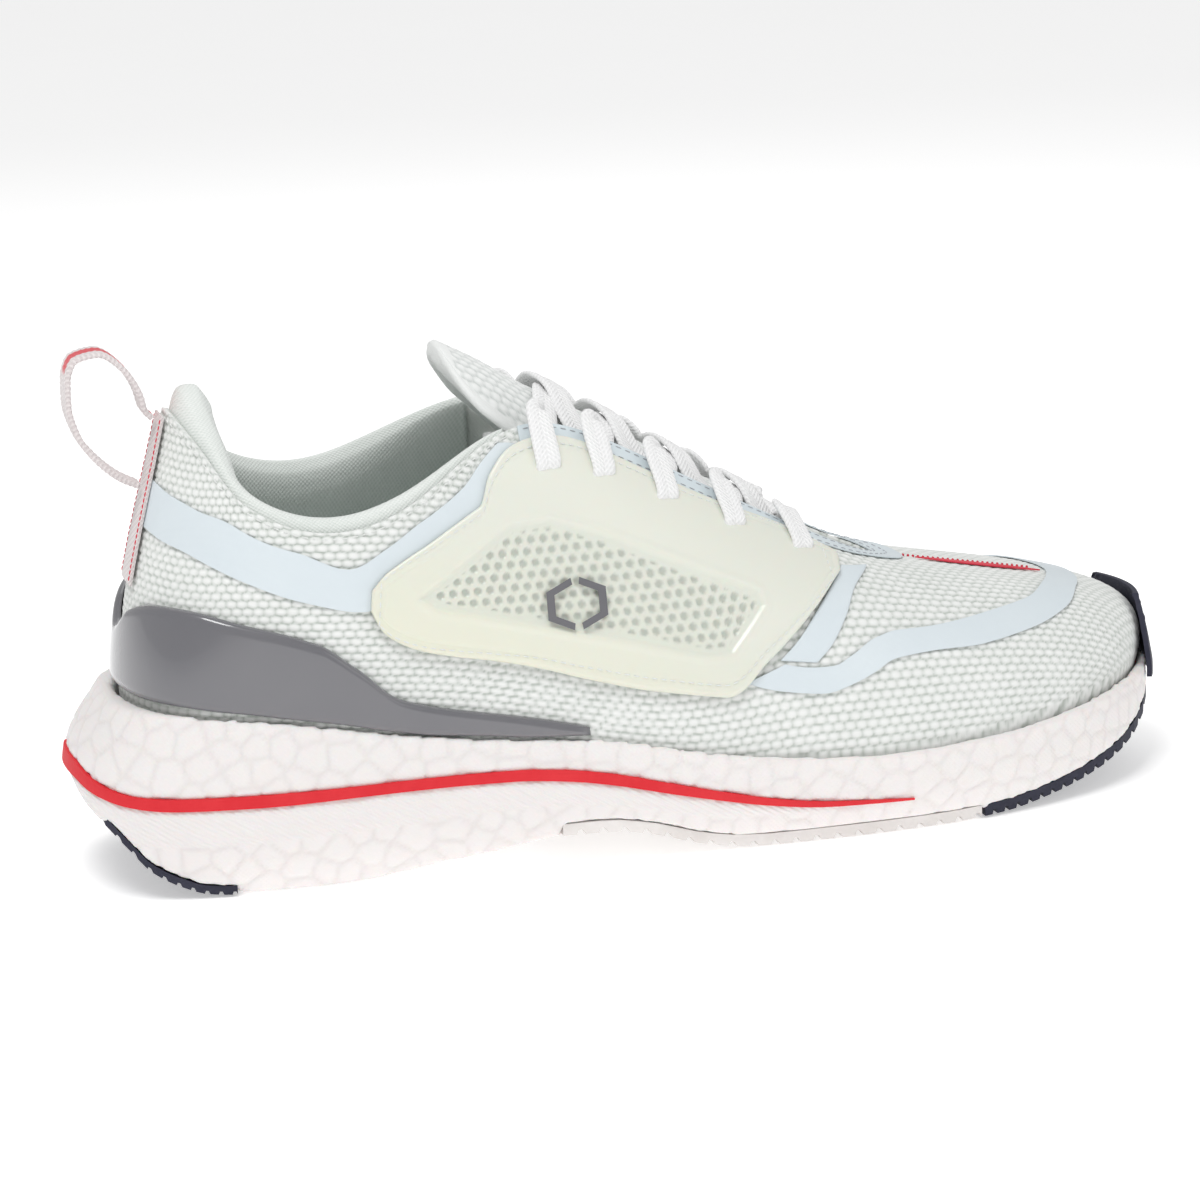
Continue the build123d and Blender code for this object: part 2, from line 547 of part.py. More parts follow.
def eyelet_cutters(side):
    """Slots for the lace, one box at each eyelet of one side."""
    boxes = []
    for row in range(len(EYELET_RIBS)):
        normal, toward = eyelet_frame(side, row)
        middle = eyelet(side, row, EYELET_DEPTH + TURN - 0.6, (OVER + UNDER) / 2)
        plane = Plane(Vector(*middle), x_dir=Vector(*toward), z_dir=Vector(*normal))
        box = Box(LACE_THICK + 2 * SLOT_CLEAR + 1.3, LACE_WIDTH + 3 * SLOT_CLEAR, 2 * TURN)
        boxes.append(plane * box)
    return boxes


def hole_turn(side, row):
    """U-turn of the lace through a hole, from outside to inside."""
    normal, toward = eyelet_frame(side, row)
    middle = eyelet(side, row, EYELET_DEPTH, (OVER + UNDER) / 2)
    points, facing = [], []
    for angle in np.radians((90, 45, 0, -45, -90)):
        out = math.sin(angle) * normal - math.cos(angle) * toward
        points.append(middle + TURN * out)
        facing.append(out)
    return points, facing


def crossing(side_from, row_from, side_to, row_to, start_depth, end_depth, lift):
    """Run of the lace over the tongue from one throat edge to the other."""
    start = eyelet(side_from, row_from, EDGE_OVER if start_depth > 0 else EDGE_UNDER, start_depth)
    end = eyelet(side_to, row_to, EDGE_OVER if end_depth > 0 else EDGE_UNDER, end_depth)
    points, facing = [start], [eyelet_frame(side_from, row_from)[0]]
    for t in (0.22, 0.36, 0.5, 0.64, 0.78):
        x, y = start[:2] * (1 - t) + end[:2] * t
        rise = lift * math.sin(math.pi * t) ** 2 + 0.5 + LACE_THICK / 2
        if end_depth > 0:
            rise += 1.3 * smooth_step((t - 0.55) / 0.25)
        if start_depth > 0:
            rise += 1.3 * smooth_step((0.45 - t) / 0.25)
        e = 0.5
        grad = ((tongue_height(x + e, y) - tongue_height(x - e, y)) / (2 * e),
                (tongue_height(x, y + e) - tongue_height(x, y - e)) / (2 * e))
        n = np.array([-grad[0], -grad[1], 1.0])
        n /= np.linalg.norm(n)
        points.append(np.array([x, y, tongue_height(x, y)]) + n * rise)
        facing.append(n)
    return points + [end], facing + [eyelet_frame(side_to, row_to)[0]]


TAIL_RIBS = (6.0, 6.5, 7.1, 7.7, 8.3)
TAIL_BELOW = (26, 31, 32, 31, 30)


def tail(side):
    """End of the lace, tucked inside along the lining: points from the top hole onward."""
    points, facing = [], []
    normal, toward = eyelet_frame(side, 0)
    for angle in np.radians((90, 45, 0)):
        out = math.sin(angle) * normal - math.cos(angle) * toward
        points.append(eyelet(side, 0, EYELET_DEPTH, (OVER + UNDER) / 2) + TURN * out)
        facing.append(out)
    points.append(eyelet(side, 0, EYELET_DEPTH + TURN + 0.1, UNDER - 0.2))
    facing.append(normal - toward)
    points.append(eyelet(side, 0, EYELET_DEPTH + TURN + 2.4, INSIDE - 0.5))
    facing.append(normal)
    for rib, below in zip((5.75,) + TAIL_RIBS, (EYELET_DEPTH + 8,) + TAIL_BELOW):
        rib = RIBS - rib if side else rib
        points.append(skin_below(rib, below, INSIDE - 0.2))
        facing.append(upper_normal(rib, v_below(rib, below)))
    return points, facing


def lace_route():
    """Centre line and facing of the whole lace, from one tucked end to the other."""
    last = len(EYELET_RIBS) - 1
    halves = []
    for first_side in (0, 1):
        parts, side, row = [], first_side, last
        while row > 0:
            parts.append(hole_turn(side, row))
            lift = LACE_THICK + 1.0 if side == 0 else 0.0
            parts.append(crossing(side, row, 1 - side, row - 1, UNDER, OVER, lift))
            side, row = 1 - side, row - 1
        parts.append(tail(side))
        halves.append([sum((list(part[k]) for part in parts), []) for k in (0, 1)])
    (lat_points, lat_facing), (med_points, med_facing) = halves
    points, facing = crossing(0, last, 1, last, OVER, OVER, 0.0)
    points = np.array(lat_points[::-1] + points + med_points)
    facing = np.array(lat_facing[::-1] + facing + med_facing)
    for i in range(1, len(facing)):
        if facing[i] @ facing[i - 1] < 0:
            facing[i] = -facing[i]
    return points, facing


def spaced(points, facing, step):
    """Evenly spaced samples of a smooth route, its facing and the direction across it."""
    points, facing = np.array(points), np.array(facing)
    at = np.concatenate([[0], np.cumsum(np.linalg.norm(np.diff(points, axis=0), axis=1) ** 0.5)])
    curve, turn = CubicSpline(at, points), PchipInterpolator(at, facing)
    fine = np.linspace(0, at[-1], 6000)
    length = np.concatenate([[0], np.cumsum(np.linalg.norm(np.diff(curve(fine), axis=0), axis=1))])
    keep = np.interp(np.linspace(0, length[-1], int(length[-1] / step)), length, fine)
    centre, n, along = curve(keep), turn(keep), curve(keep, 1)
    along /= np.linalg.norm(along, axis=1, keepdims=True)
    n -= along * (n * along).sum(1)[:, None]
    n /= np.linalg.norm(n, axis=1, keepdims=True)
    return centre, n, np.cross(along, n)


def ribbon_solid(centre, normal, across, width, thick):
    """Flat ribbon with a rectangular section, its long faces made in short lengths."""
    corners = [centre + normal * (u * thick / 2) + across * (w * width / 2)
               for u, w in ((1, 1), (1, -1), (-1, -1), (-1, 1))]
    along = [np.gradient(line, axis=0) for line in corners]
    at = np.concatenate([[0], np.cumsum(np.linalg.norm(np.diff(centre, axis=0), axis=1))])
    breaks = np.linspace(0, len(centre) - 1, len(centre) // RIBBON_LENGTH + 2).astype(int)
    faces = []
    for first, last in zip(breaks, breaks[1:]):
        share = (at[first:last + 1] - at[first]) / (at[last] - at[first])
        edges = []
        for line, way in zip(corners, along):
            points = [Vector(*p) for p in line[first:last + 1]]
            ends = [Vector(*way[first]), Vector(*way[last])]
            edges.append(Edge.make_spline(points, tangents=ends, parameters=list(share)))
        for low, high in zip(edges, edges[1:] + edges[:1]):
            faces.append(Face.make_surface_from_curves(low, high))
    for end in (0, -1):
        faces.append(Face(Wire.make_polygon([Vector(*line[end]) for line in corners], close=True)))
    return outward_solid(faces)


def make_lace():
    points, facing = lace_route()
    centre, normal, across = spaced(points, facing, RIBBON_STEP)
    return ribbon_solid(centre, normal, across, LACE_WIDTH, LACE_THICK)


# ============================ sole ============================
# Ribs where the level outlines are measured: one for each, and halfway ones round heel and toe.
STATIONS = np.array(sorted([*range(RIBS), 0.5, 1.5, 22.5, 23.5, 10.5, 11.5, 12.5, 13.5]))


def level_wire(points):
    return Wire([Edge.make_spline([Vector(*p) for p in points], periodic=True)])


def side_slab(low, high, smooth=True):
    """Everything between two side-view lines, right across the shoe."""
    low, high = [Vector(x, -70, z) for x, z in low], [Vector(x, -70, z) for x, z in high]
    if smooth:
        wire = Wire([Edge.make_spline(low), Edge.make_line(low[-1], high[-1]),
                     Edge.make_spline(high), Edge.make_line(high[0], low[0])])
    else:
        wire = Wire.make_polygon(low + high[::-1], close=True)
    return Solid.extrude(Face(wire), Vector(0, 140, 0))


def sample_line(height, first, last, count, shift=0.0):
    return [(x, float(height(x)) + shift) for x in np.linspace(first, last, count)]


def sole_block():
    return Solid.make_loft([level_wire(sole_point(STATIONS, level)) for level in SOLE_LEVELS])


def foot_outline(level, clearance):
    """Plan of the upper at a level, grown outward; below the footbed it goes straight down."""
    points = []
    for rib in STATIONS:
        v = np.linspace(0, 0.9, 200)
        line = upper_point(rib, v)
        at = np.interp(level, line[:, 2], v) if level > line[0, 2] else 0.0
        n = upper_normal(rib, at)
        flat = np.array([n[0], n[1]]) / math.hypot(n[0], n[1])
        points.append([*(upper_point(rib, at)[:2] + flat * clearance), level])
    return np.array(points)


def cup_cutter():
    """The bed that the upper sits in."""
    levels = (8, 16, 24, 32, 40, 50)
    walls = Solid.make_loft([level_wire(foot_outline(level, LAYER_GAP + CUP_GAP)) for level in levels])
    return walls & side_slab(sample_line(footbed_z, -5, 300, 24, -CUP_GAP - 0.1), [(-5, 90), (150, 90), (300, 90)])


def ground_profile(first, last, tooth, pitch):
    """Side-view line of a tread with small teeth; tooth is their depth."""
    if not tooth:
        return sample_line(ground_z, first, last, 24)
    line, count = [], round((last - first) / pitch)
    pitch = (last - first) / count
    for start in first + pitch * np.arange(count):
        for share, notch in ((0, 0), (0.6, 0), (0.7, tooth), (0.9, tooth)):
            x = start + share * pitch
            line.append((x, float(ground_z(x)) + notch))
    return line + [(last, float(ground_z(last)))]


TREADS = {
    "outsole_heel": (6.5, 36.0, HEEL_RUBBER, 0.8, 3.4),
    "outsole_forefoot": (116.0, 225.0, TREAD, 1.2, 5.5),
    "outsole_toe": (226.0, 289.6, TREAD, 1.3, 3.6),
}


def tread_slab(first, last, thick, tooth, pitch, clearance=0.0):
    low = ground_profile(first - clearance, last + clearance, 0 if clearance else tooth, pitch)
    if clearance:
        low = [(x, z - 6) for x, z in low]
    high = sample_line(ground_z, first - clearance, last + clearance, 24, thick + clearance)
    return side_slab(low, high, smooth=bool(clearance))


def tread_plan():
    """Upright column with the plan of the sole where it meets the treads."""
    ribs = np.arange(0, RIBS, 0.25)
    points = sole_point(ribs, ground_z(SOLE(ribs)[:, 0]) + TREAD / 2)
    outline = Wire.make_polygon([Vector(x, y, -5) for x, y, _ in points], close=True)
    return Solid.extrude(Face(outline), Vector(0, 0, 60))


def make_treads():
    parts, plan = {}, tread_plan()
    for name, (first, last, thick, tooth, pitch) in TREADS.items():
        parts[name] = plan & tread_slab(first, last, thick, tooth, pitch)
    groove = Pos(170, 0, 0) * Box(90, 4, 3.4)
    parts["outsole_forefoot"] = parts["outsole_forefoot"] - groove
    return parts


def stripe_solid(sunk, proud, grow):
    """Stripe round the sidewall, its ends pointed below the ball of the foot."""
    rib = np.linspace(-STRIPE_END_RIB, STRIPE_END_RIB, 90)
    x = SOLE(rib % RIBS)[:, 0]
    low, high = stripe_bottom(x) - grow, stripe_top(x) + grow
    t = np.linspace(0, 1, 5)[None, :]
    level = low[:, None] * (1 - t) + high[:, None] * t
    base = sole_point(rib[:, None] + 0 * t, level)
    along = SOLE(rib % RIBS, 1)
    outward = np.stack([along[:, 1], -along[:, 0], 0 * x], -1)
    outward /= np.linalg.norm(outward, axis=1, keepdims=True)
    return patch_solid(base + outward[:, None] * proud, base - outward[:, None] * sunk)


def make_midsole(block):
    low = [(-6, 34)] + list(GROUND_LINE) + [(297, 32)]
    high = sample_line(rim_z, -6, 297, 30)
    body = block & side_slab(low, high)
    body = body - cup_cutter()
    for first, last, thick, tooth, pitch in TREADS.values():
        body = body - tread_slab(first, last, thick, tooth, pitch, LAYER_GAP)
    return body - stripe_solid(STRIPE_SUNK + LAYER_GAP, 3.0, LAYER_GAP)


def make_toe_guard():
    """Rubber guard that wraps the tip of the shoe, over sidewall and mesh."""
    centre = np.array([240.0, 3.0])
    angle = np.radians(np.linspace(-24, 30, 25))
    levels = np.linspace(24, 45, 14)
    grid = np.empty((len(angle), len(levels), 3))
    ribs = np.linspace(9.5, 14.5, 60)
    for j, level in enumerate(levels):
        hull = sole_point(ribs, level)[:, :2] - centre
        line = np.array([upper_at_level(rib, level) for rib in ribs])[:, :2] - centre
        radius = [np.interp(angle, np.arctan2(c[:, 1], c[:, 0]), np.hypot(c[:, 0], c[:, 1])) for c in (hull, line)]
        reach = np.maximum(*radius) + LAYER_GAP + CUP_GAP
        grid[:, j, 0], grid[:, j, 1] = centre[0] + reach * np.cos(angle), centre[1] + reach * np.sin(angle)
        grid[:, j, 2] = level
    taper = np.linspace(0, 1, len(levels))
    squeeze = 1 - 0.35 * taper**2
    for j in range(len(levels)):
        grid[:, j] = grid_row_squeezed(grid[:, j], squeeze[j])
    out = grid.copy()
    away = grid[..., :2] - centre
    away /= np.linalg.norm(away, axis=-1, keepdims=True)
    out[..., :2] += away * GUARD
    return patch_solid(out, grid)


def grid_row_squeezed(row, share):
    """The middle share of a row of points, respaced to the same count."""
    at = np.linspace(0, 1, len(row))
    keep = 0.5 + (at - 0.5) * share
    return np.stack([np.interp(keep, at, row[:, k]) for k in range(3)], -1)


def upper_at_level(rib, level):
    v = np.linspace(0, 0.7, 160)
    line = upper_point(rib, v)
    top = int(np.argmax(line[:, 2] >= level)) if line[:, 2].max() > level else len(line) - 1
    return line[top]


def board_outline(inset):
    """Plan of the footbed inside the lining."""
    ribs = np.arange(0, RIBS, 0.5)
    foot = upper_point(ribs, 0.0)
    n = upper_normal(ribs, 0.0)[:, :2]
    n /= np.linalg.norm(n, axis=1, keepdims=True)
    depth = lining_depth(ribs) - LINING - inset
    return np.concatenate([foot[:, :2] + n * depth[:, None], 0 * ribs[:, None]], -1)


def footbed_sheet(inset, bottom, thick):
    """Flat piece that follows the footbed."""
    face = Face(level_wire(board_outline(inset)))
    column = Solid.extrude(face, Vector(0, 0, 70))
    low, high = sample_line(footbed_z, 0, 295, 24, bottom), sample_line(footbed_z, 0, 295, 24, bottom + thick)
    return column & side_slab(low, high)


# ============================ pull loop ============================
def make_pull_loop():
    """Loop of webbing; it stops just short of the heel, where its stitching lets it swing."""
    path = np.array(resample([(x, z) for x, z in LOOP_PATH], 48))
    tangent = np.gradient(path, axis=0)
    tangent /= np.linalg.norm(tangent, axis=1, keepdims=True)
    normal = np.stack([tangent[:, 1], -tangent[:, 0]], -1)
    s = np.linspace(0, 1, len(path))
    half = (LOOP_ROOT_WIDTH + (LOOP_WIDTH - LOOP_ROOT_WIDTH) * smooth_step(np.minimum(s, 1 - s) / 0.16)) / 2
    w = np.linspace(-1, 1, 5)

    def sheet(offset):
        line = path + normal * offset
        return np.stack([line[:, :1] + 0 * w, half[:, None] * w, line[:, 1:] + 0 * w], -1)

    return patch_solid(sheet(LOOP_THICK / 2), sheet(-LOOP_THICK / 2))


# ============================ assembly ============================
def build_all():
    block = sole_block()
    parts = {
        "midsole": make_midsole(block),
        "sidewall_stripe": stripe_solid(STRIPE_SUNK, STRIPE_PROUD, 0.0),
        "toe_guard": make_toe_guard(),
        "strobel_board": footbed_sheet(LAYER_GAP, LAYER_GAP, BOARD),
        "insole": footbed_sheet(FREE_GAP + 0.4, LAYER_GAP + BOARD + FREE_GAP, INSOLE),
        "upper_mesh": make_upper_mesh(),
        "upper_lining": make_upper_lining(),
        "heel_counter": make_heel_counter(),
        "toe_puff": make_toe_puff(),
        "collar_pad": make_collar_pad(),
        "eyestay": make_eyestay(),
        "side_panel_lateral": make_side_panel(False),
        "side_panel_medial": make_side_panel(True),
        "heel_film_lateral": make_heel_film(False),
        "heel_film_medial": make_heel_film(True),
        "toe_film": make_toe_film(),
        "throat_tab_lateral": make_throat_tab(False),
        "throat_tab_medial": make_throat_tab(True),
        "heel_clip": make_heel_clip(),
        "heel_tape": make_heel_tape(),
        "vamp_print": make_vamp_print(),
        "emblem_front": make_emblem(-82, 82),
        "emblem_rear": make_emblem(98, 262),
        "tongue": make_tongue(),
        "lace": make_lace(),
        "pull_loop": make_pull_loop(),
    }
    parts.update(make_treads())
    return parts


SHIFT = (-144.87, 1.69, 0.0)


def main():
    os.makedirs("parts", exist_ok=True)
    for name, solid in build_all().items():
        export_step(solid.moved(Location(SHIFT)), f"parts/{name}.step")


if __name__ == "__main__":
    main()
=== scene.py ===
import math

import bmesh
import bpy
import numpy as np
from mathutils import Matrix, Vector, kdtree
from mathutils.bvhtree import BVHTree


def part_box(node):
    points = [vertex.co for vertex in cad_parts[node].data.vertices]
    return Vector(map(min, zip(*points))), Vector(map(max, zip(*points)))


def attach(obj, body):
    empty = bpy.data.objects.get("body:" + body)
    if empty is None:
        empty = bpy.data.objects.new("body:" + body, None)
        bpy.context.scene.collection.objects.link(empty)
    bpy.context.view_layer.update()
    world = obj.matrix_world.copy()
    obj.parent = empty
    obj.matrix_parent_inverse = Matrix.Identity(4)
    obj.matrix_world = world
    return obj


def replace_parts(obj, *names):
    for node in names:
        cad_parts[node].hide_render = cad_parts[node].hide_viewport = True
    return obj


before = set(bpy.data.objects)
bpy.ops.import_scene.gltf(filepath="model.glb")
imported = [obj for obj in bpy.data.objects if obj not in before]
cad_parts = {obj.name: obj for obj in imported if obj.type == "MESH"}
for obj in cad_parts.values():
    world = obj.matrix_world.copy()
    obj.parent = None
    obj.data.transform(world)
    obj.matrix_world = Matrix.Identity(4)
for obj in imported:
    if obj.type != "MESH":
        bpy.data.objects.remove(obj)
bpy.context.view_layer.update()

# The shoe is drawn in millimetres with X from the back of the midsole; SHIFT and MM turn that
# into the frame's metres.
SHIFT = np.array([-144.87, 1.69, 0.0])
MM = 0.001

# ---- sizes shared with the solid model ----
MESH = 1.5              # thickness of the knitted upper
LINING = 0.8
FILM = 0.3
PANEL = 1.3             # clear side panel at its rim
TAPE = 0.6
LAYER_GAP = 0.25
LACE_ZONE = 17.0
PAD_DEEP = 24.0
ROLL_HIGH = 24.0
LACE_WIDTH = 6.5
LACE_THICK = 1.1
EYELET_DEPTH = 10.0
EYELET_RIBS = (5.75, 6.35, 6.95, 7.6, 8.3)
LOOP_WIDTH = 12.0
LOOP_ROOT_WIDTH = 8.0
LOOP_THICK = 1.4

# Ribs of the upper, heel, lateral, toe, medial: foot point, pull at the foot, pull at the top, top.
UPPER_RIBS = (
    ((15.5, 0, 34), (-3, 0, 26), (-6, 0, -24), (30.5, 0, 115)),
    ((24, -25, 33.5), (-2, -4, 24), (-4, -5, -22), (36, -18, 107)),
    ((42, -33, 33), (0, -4, 20), (0, -5, -18), (44, -29, 95.5)),
    ((63, -36, 32), (0, -4, 17), (0, -3, -14), (62, -34, 87.5)),
    ((86, -37, 30), (0, -4, 17), (0, -4, -16), (84, -33, 92)),
    ((110, -39, 26), (0, -5, 20), (0, -8, -18), (104, -26.5, 104)),
    ((134, -42.5, 21), (0, -5, 22), (0, -14, -15), (124, -20, 106)),
    ((160, -46.5, 17.5), (0, -4, 22), (0, -17, -12), (150, -17, 93.5)),
    ((190, -48, 16), (0, -3, 22), (0, -19, -9), (176, -14.5, 79)),
    ((220, -46, 16.5), (0, -3, 24), (5, -22, -7), (198, -10, 67.5)),
    ((248, -37.5, 18), (4, -3, 28), (22, -19, -7), (208, -5, 63)),
    ((271, -21, 20), (10, -4, 31), (40, -12, -9), (211.5, -1, 61.5)),
    ((283.5, 3, 21), (16, 0, 31), (49, 0, -11), (212.5, 3, 61)),
    ((273, 27, 20), (10, 4, 31), (40, 12, -9), (211.5, 7, 61.5)),
    ((250, 40, 18), (4, 3, 28), (22, 17, -7), (208, 10, 63)),
    ((220, 44, 16.5), (0, 3, 24), (5, 20, -7), (198, 13, 67.5)),
    ((190, 43, 16), (0, 3, 22), (0, 18, -9), (176, 15, 79.5)),
    ((160, 38, 17.5), (0, 3, 24), (0, 18, -13), (150, 17, 94)),
    ((134, 34.5, 21), (0, 4, 24), (0, 14, -15), (124, 20, 107)),
    ((110, 33.5, 26), (0, 4, 22), (0, 8, -18), (106, 26.5, 106)),
    ((86, 34, 30), (0, 4, 18), (0, 4, -16), (88, 32, 97)),
    ((63, 34, 32), (0, 4, 17), (0, 3, -14), (66, 33, 91)),
    ((42, 32.5, 33), (0, 4, 20), (0, 4, -18), (46, 29, 97)),
    ((24, 24.5, 33.5), (-2, 4, 24), (-4, 5, -22), (36, 18, 108)),
)
RIBS = len(UPPER_RIBS)
TOE_RIB = 12

PANEL_LOW = ((72, -38, 68), (74, -38, 63), (81, -40, 58), (90, -40, 55.7), (100, -41, 53.3),
             (112, -42, 50), (125, -45, 46.3), (140, -47, 42.5), (157, -49, 39), (170, -43, 47),
             (184, -33, 56.5), (193.5, -24, 62))
PANEL_HIGH = ((72.5, -38, 73), (77, -38, 77), (85, -37, 81.5), (94, -36, 86), (100.5, -34, 90),
              (104, -30, 97), (111, -26, 102.5), (124, -23, 103), (142, -21, 94), (160, -19, 84),
              (180, -17, 74), (195, -16, 65))
CLIP_LOW = ((15, 0, 48), (18, -13, 47.6), (29, -28, 46.6), (39, -34, 45.2), (50, -37, 43.4),
            (63, -38, 40.8), (74, -39, 38.4), (88, -40, 35.9), (105, -41, 33.8), (124, -43, 32.4))
CLIP_HIGH = ((15, 0, 62.8), (17, -13, 68), (22, -24, 71), (35, -33, 69), (48, -36, 65.3),
             (58, -37, 61.5), (68, -38, 54.5), (78, -39, 46), (96, -41, 41), (124, -43, 34.6))
CLIP = 2.0
# Window of small holes in the side panel, as (x, z) corners.
WINDOW = ((84, 70), (108, 84.5), (118, 85), (129, 81), (169, 62), (170, 59), (160, 49.5), (154, 49.5),
          (135, 55), (108, 62), (88, 67))

TONGUE_RIDGE = ((217, 53.6), (211, 57.4), (204, 62.5), (197, 67.5), (182, 77), (165, 87), (150, 96.5),
                (141, 102), (130, 108.5), (120, 114), (110, 120.5), (99, 126.5))
TONGUE_HALF = (9, 13, 16, 19, 22.5, 24.5, 25.5, 25.2, 24, 21.2, 18.5, 15)
TONGUE_DROOP = (0.045, 0.05, 0.055, 0.055, 0.047, 0.04, 0.038, 0.037, 0.036, 0.036, 0.038, 0.04)
TONGUE_MIDDLE_Y = 1.5
TONGUE_PAD = 4.5
TONGUE_EDGE = 1.6
TIP_CORNER = 10.0       # radius of the tongue's upper corners
TONGUE_LONG = 135
KNIT_DEEP = 0.38        # of the tongue's knit

LOOP_PATH = ((27.3, 113.4), (25.6, 115.4), (24.6, 119.5), (21, 126), (15, 130.2), (9.5, 129),
             (7.4, 124), (7.2, 118), (9, 110.5), (13.5, 103.8), (18.6, 99.2), (23.0, 96.85))


# ---- smooth lines ----
def hermite(xs, ys, slope, at):
    """Cubic through rows of numbers with given slopes."""
    at = np.asarray(at, float)
    i = np.clip(np.searchsorted(xs, at, side="right") - 1, 0, len(xs) - 2)
    h = (xs[i + 1] - xs[i])[..., None]
    t = ((at - xs[i]) / (xs[i + 1] - xs[i]))[..., None]
    return (ys[i] * (1 + 2 * t) * (1 - t) ** 2 + slope[i] * h * t * (1 - t) ** 2
            + ys[i + 1] * t * t * (3 - 2 * t) + slope[i + 1] * h * t * t * (t - 1))


def line_through(xs, ys):
    """Function of a line through rows of numbers that never overshoots them."""
    xs = np.asarray(xs, float)
    rows = np.asarray(ys, float).reshape(len(xs), -1)
    shape = np.asarray(ys).shape[1:]
    h = np.diff(xs)[:, None]
    d = np.diff(rows, axis=0) / h
    w1, w2 = 2 * h[1:] + h[:-1], h[1:] + 2 * h[:-1]
    slope = np.zeros_like(rows)
    with np.errstate(divide="ignore", invalid="ignore"):
        mean = (w1 + w2) / (w1 / d[:-1] + w2 / d[1:])
    slope[1:-1] = np.where(d[:-1] * d[1:] > 0, mean, 0)
    slope[0], slope[-1] = d[0], d[-1]

    def value(at):
        return hermite(xs, rows, slope, np.clip(at, xs[0], xs[-1])).reshape((*np.shape(at), *shape))

    return value


def closed_spline(rows):
    """Function of a closed smooth line through one row of numbers for each rib."""
    rows = np.array(rows, float).reshape(RIBS, -1)
    system = 4 * np.eye(RIBS) + np.roll(np.eye(RIBS), 1, 0) + np.roll(np.eye(RIBS), -1, 0)
    slope = np.linalg.solve(system, 3 * (np.roll(rows, -1, 0) - np.roll(rows, 1, 0)))
    rows, slope = np.concatenate([rows, rows[:1]]), np.concatenate([slope, slope[:1]])
    return lambda rib: hermite(np.arange(RIBS + 1.0), rows, slope, np.asarray(rib, float) % RIBS)


def unit(rows):
    """Rows of numbers scaled to length one."""
    return rows / np.linalg.norm(rows, axis=-1, keepdims=True)


def smooth_step(x):
    x = np.clip(x, 0, 1)
    return x * x * (3 - 2 * x)


def resample(points, count):
    """Evenly spread points on a smooth line through a few rows of numbers."""
    points = np.array(points, float)
    at = lengths(points, 0.5)
    return line_through(at / at[-1], points)(np.linspace(0, 1, count))


def lengths(points, power=1.0):
    """Running length along a row of points."""
    steps = np.linalg.norm(np.diff(points, axis=0), axis=-1) ** power
    return np.concatenate([np.zeros((1, *steps.shape[1:])), np.cumsum(steps, axis=0)])


# ---- surface of the upper ----
def rib_controls():
    rows = []
    for foot, pull_foot, pull_top, top in UPPER_RIBS:
        foot, top = np.array(foot, float), np.array(top, float)
        rows.append([foot, foot + pull_foot, top + pull_top, top])
    return rows


UPPER = closed_spline(rib_controls())


def upper_point(rib, v):
    """Outer surface of the upper: rib once round from the heel, v from footbed (0) to topline (1)."""
    rib, v = np.broadcast_arrays(np.asarray(rib, float), np.asarray(v, float))
    controls = UPPER(rib).reshape(*rib.shape, 4, 3)
    w = np.stack([(1 - v) ** 3, 3 * v * (1 - v) ** 2, 3 * v**2 * (1 - v), v**3], -1)
    return (controls * w[..., None]).sum(-2)


def upper_normal(rib, v):
    e = 1e-3
    rib, v = np.broadcast_arrays(np.asarray(rib, float), np.asarray(v, float))
    along = upper_point(rib + e, v) - upper_point(rib - e, v)
    rise = upper_point(rib, np.clip(v + e, 0, 1)) - upper_point(rib, np.clip(v - e, 0, 1))
    n = np.cross(along, rise)
    n[..., 1] = np.where(np.isclose(rib % TOE_RIB, 0), 0, n[..., 1])
    return unit(n)


def skin(rib, v, depth):
    """Point at a depth from the upper's outer surface, outward positive."""
    rib, v, depth = np.broadcast_arrays(rib, v, depth)
    return upper_point(rib, v) + upper_normal(rib, v) * depth[..., None]


V_STEPS = np.linspace(1, 0, 80)


def v_below(rib, below):
    """v of the point that lies this far down the rib from the topline."""
    rib, below = np.broadcast_arrays(np.asarray(rib, float), np.asarray(below, float))
    out = np.empty(rib.shape)
    for one in np.unique(rib):
        here = rib == one
        length = lengths(upper_point(one, V_STEPS))
        out[here] = np.interp(below[here], length, V_STEPS)
    return out


def skin_below(rib, below, depth):
    """Like skin(), but measured down from the topline; negative goes above it."""
    rib, below, depth = np.broadcast_arrays(np.asarray(rib, float), below, depth)
    up = unit(upper_point(rib, 1.0) - upper_point(rib, 0.97))
    return skin(rib, v_below(rib, np.maximum(below, 0)), depth) + up * np.maximum(-below, 0)[..., None]


def surface_tree():
    """Search tree over the lateral surface, with y counted least."""
    rib, v = np.meshgrid(np.linspace(-1, 13, 421), np.linspace(0, 1, 121), indexing="ij")
    points = upper_point(rib, v).reshape(-1, 3) * (1, 0.35, 1)
    tree = kdtree.KDTree(len(points))
    for i, p in enumerate(points):
        tree.insert(p, i)
    tree.balance()
    return tree, rib.ravel(), v.ravel()


TREE, TREE_RIB, TREE_V = surface_tree()


def on_upper(points):
    """(rib, v) of the lateral surface points nearest to rough (x, y, z) places."""
    found = [TREE.find(Vector((x, 0.35 * y, z)))[1] for x, y, z in points]
    return np.stack([TREE_RIB[found], TREE_V[found]], -1)


def band_grid(low, high, count, across):
    """(rib, v) grid between two border lines on the upper."""
    low_line, high_line = resample(low, count), resample(high, count)
    t = np.linspace(0, 1, across)[None, :, None]
    return low_line[:, None] * (1 - t) + high_line[:, None] * t


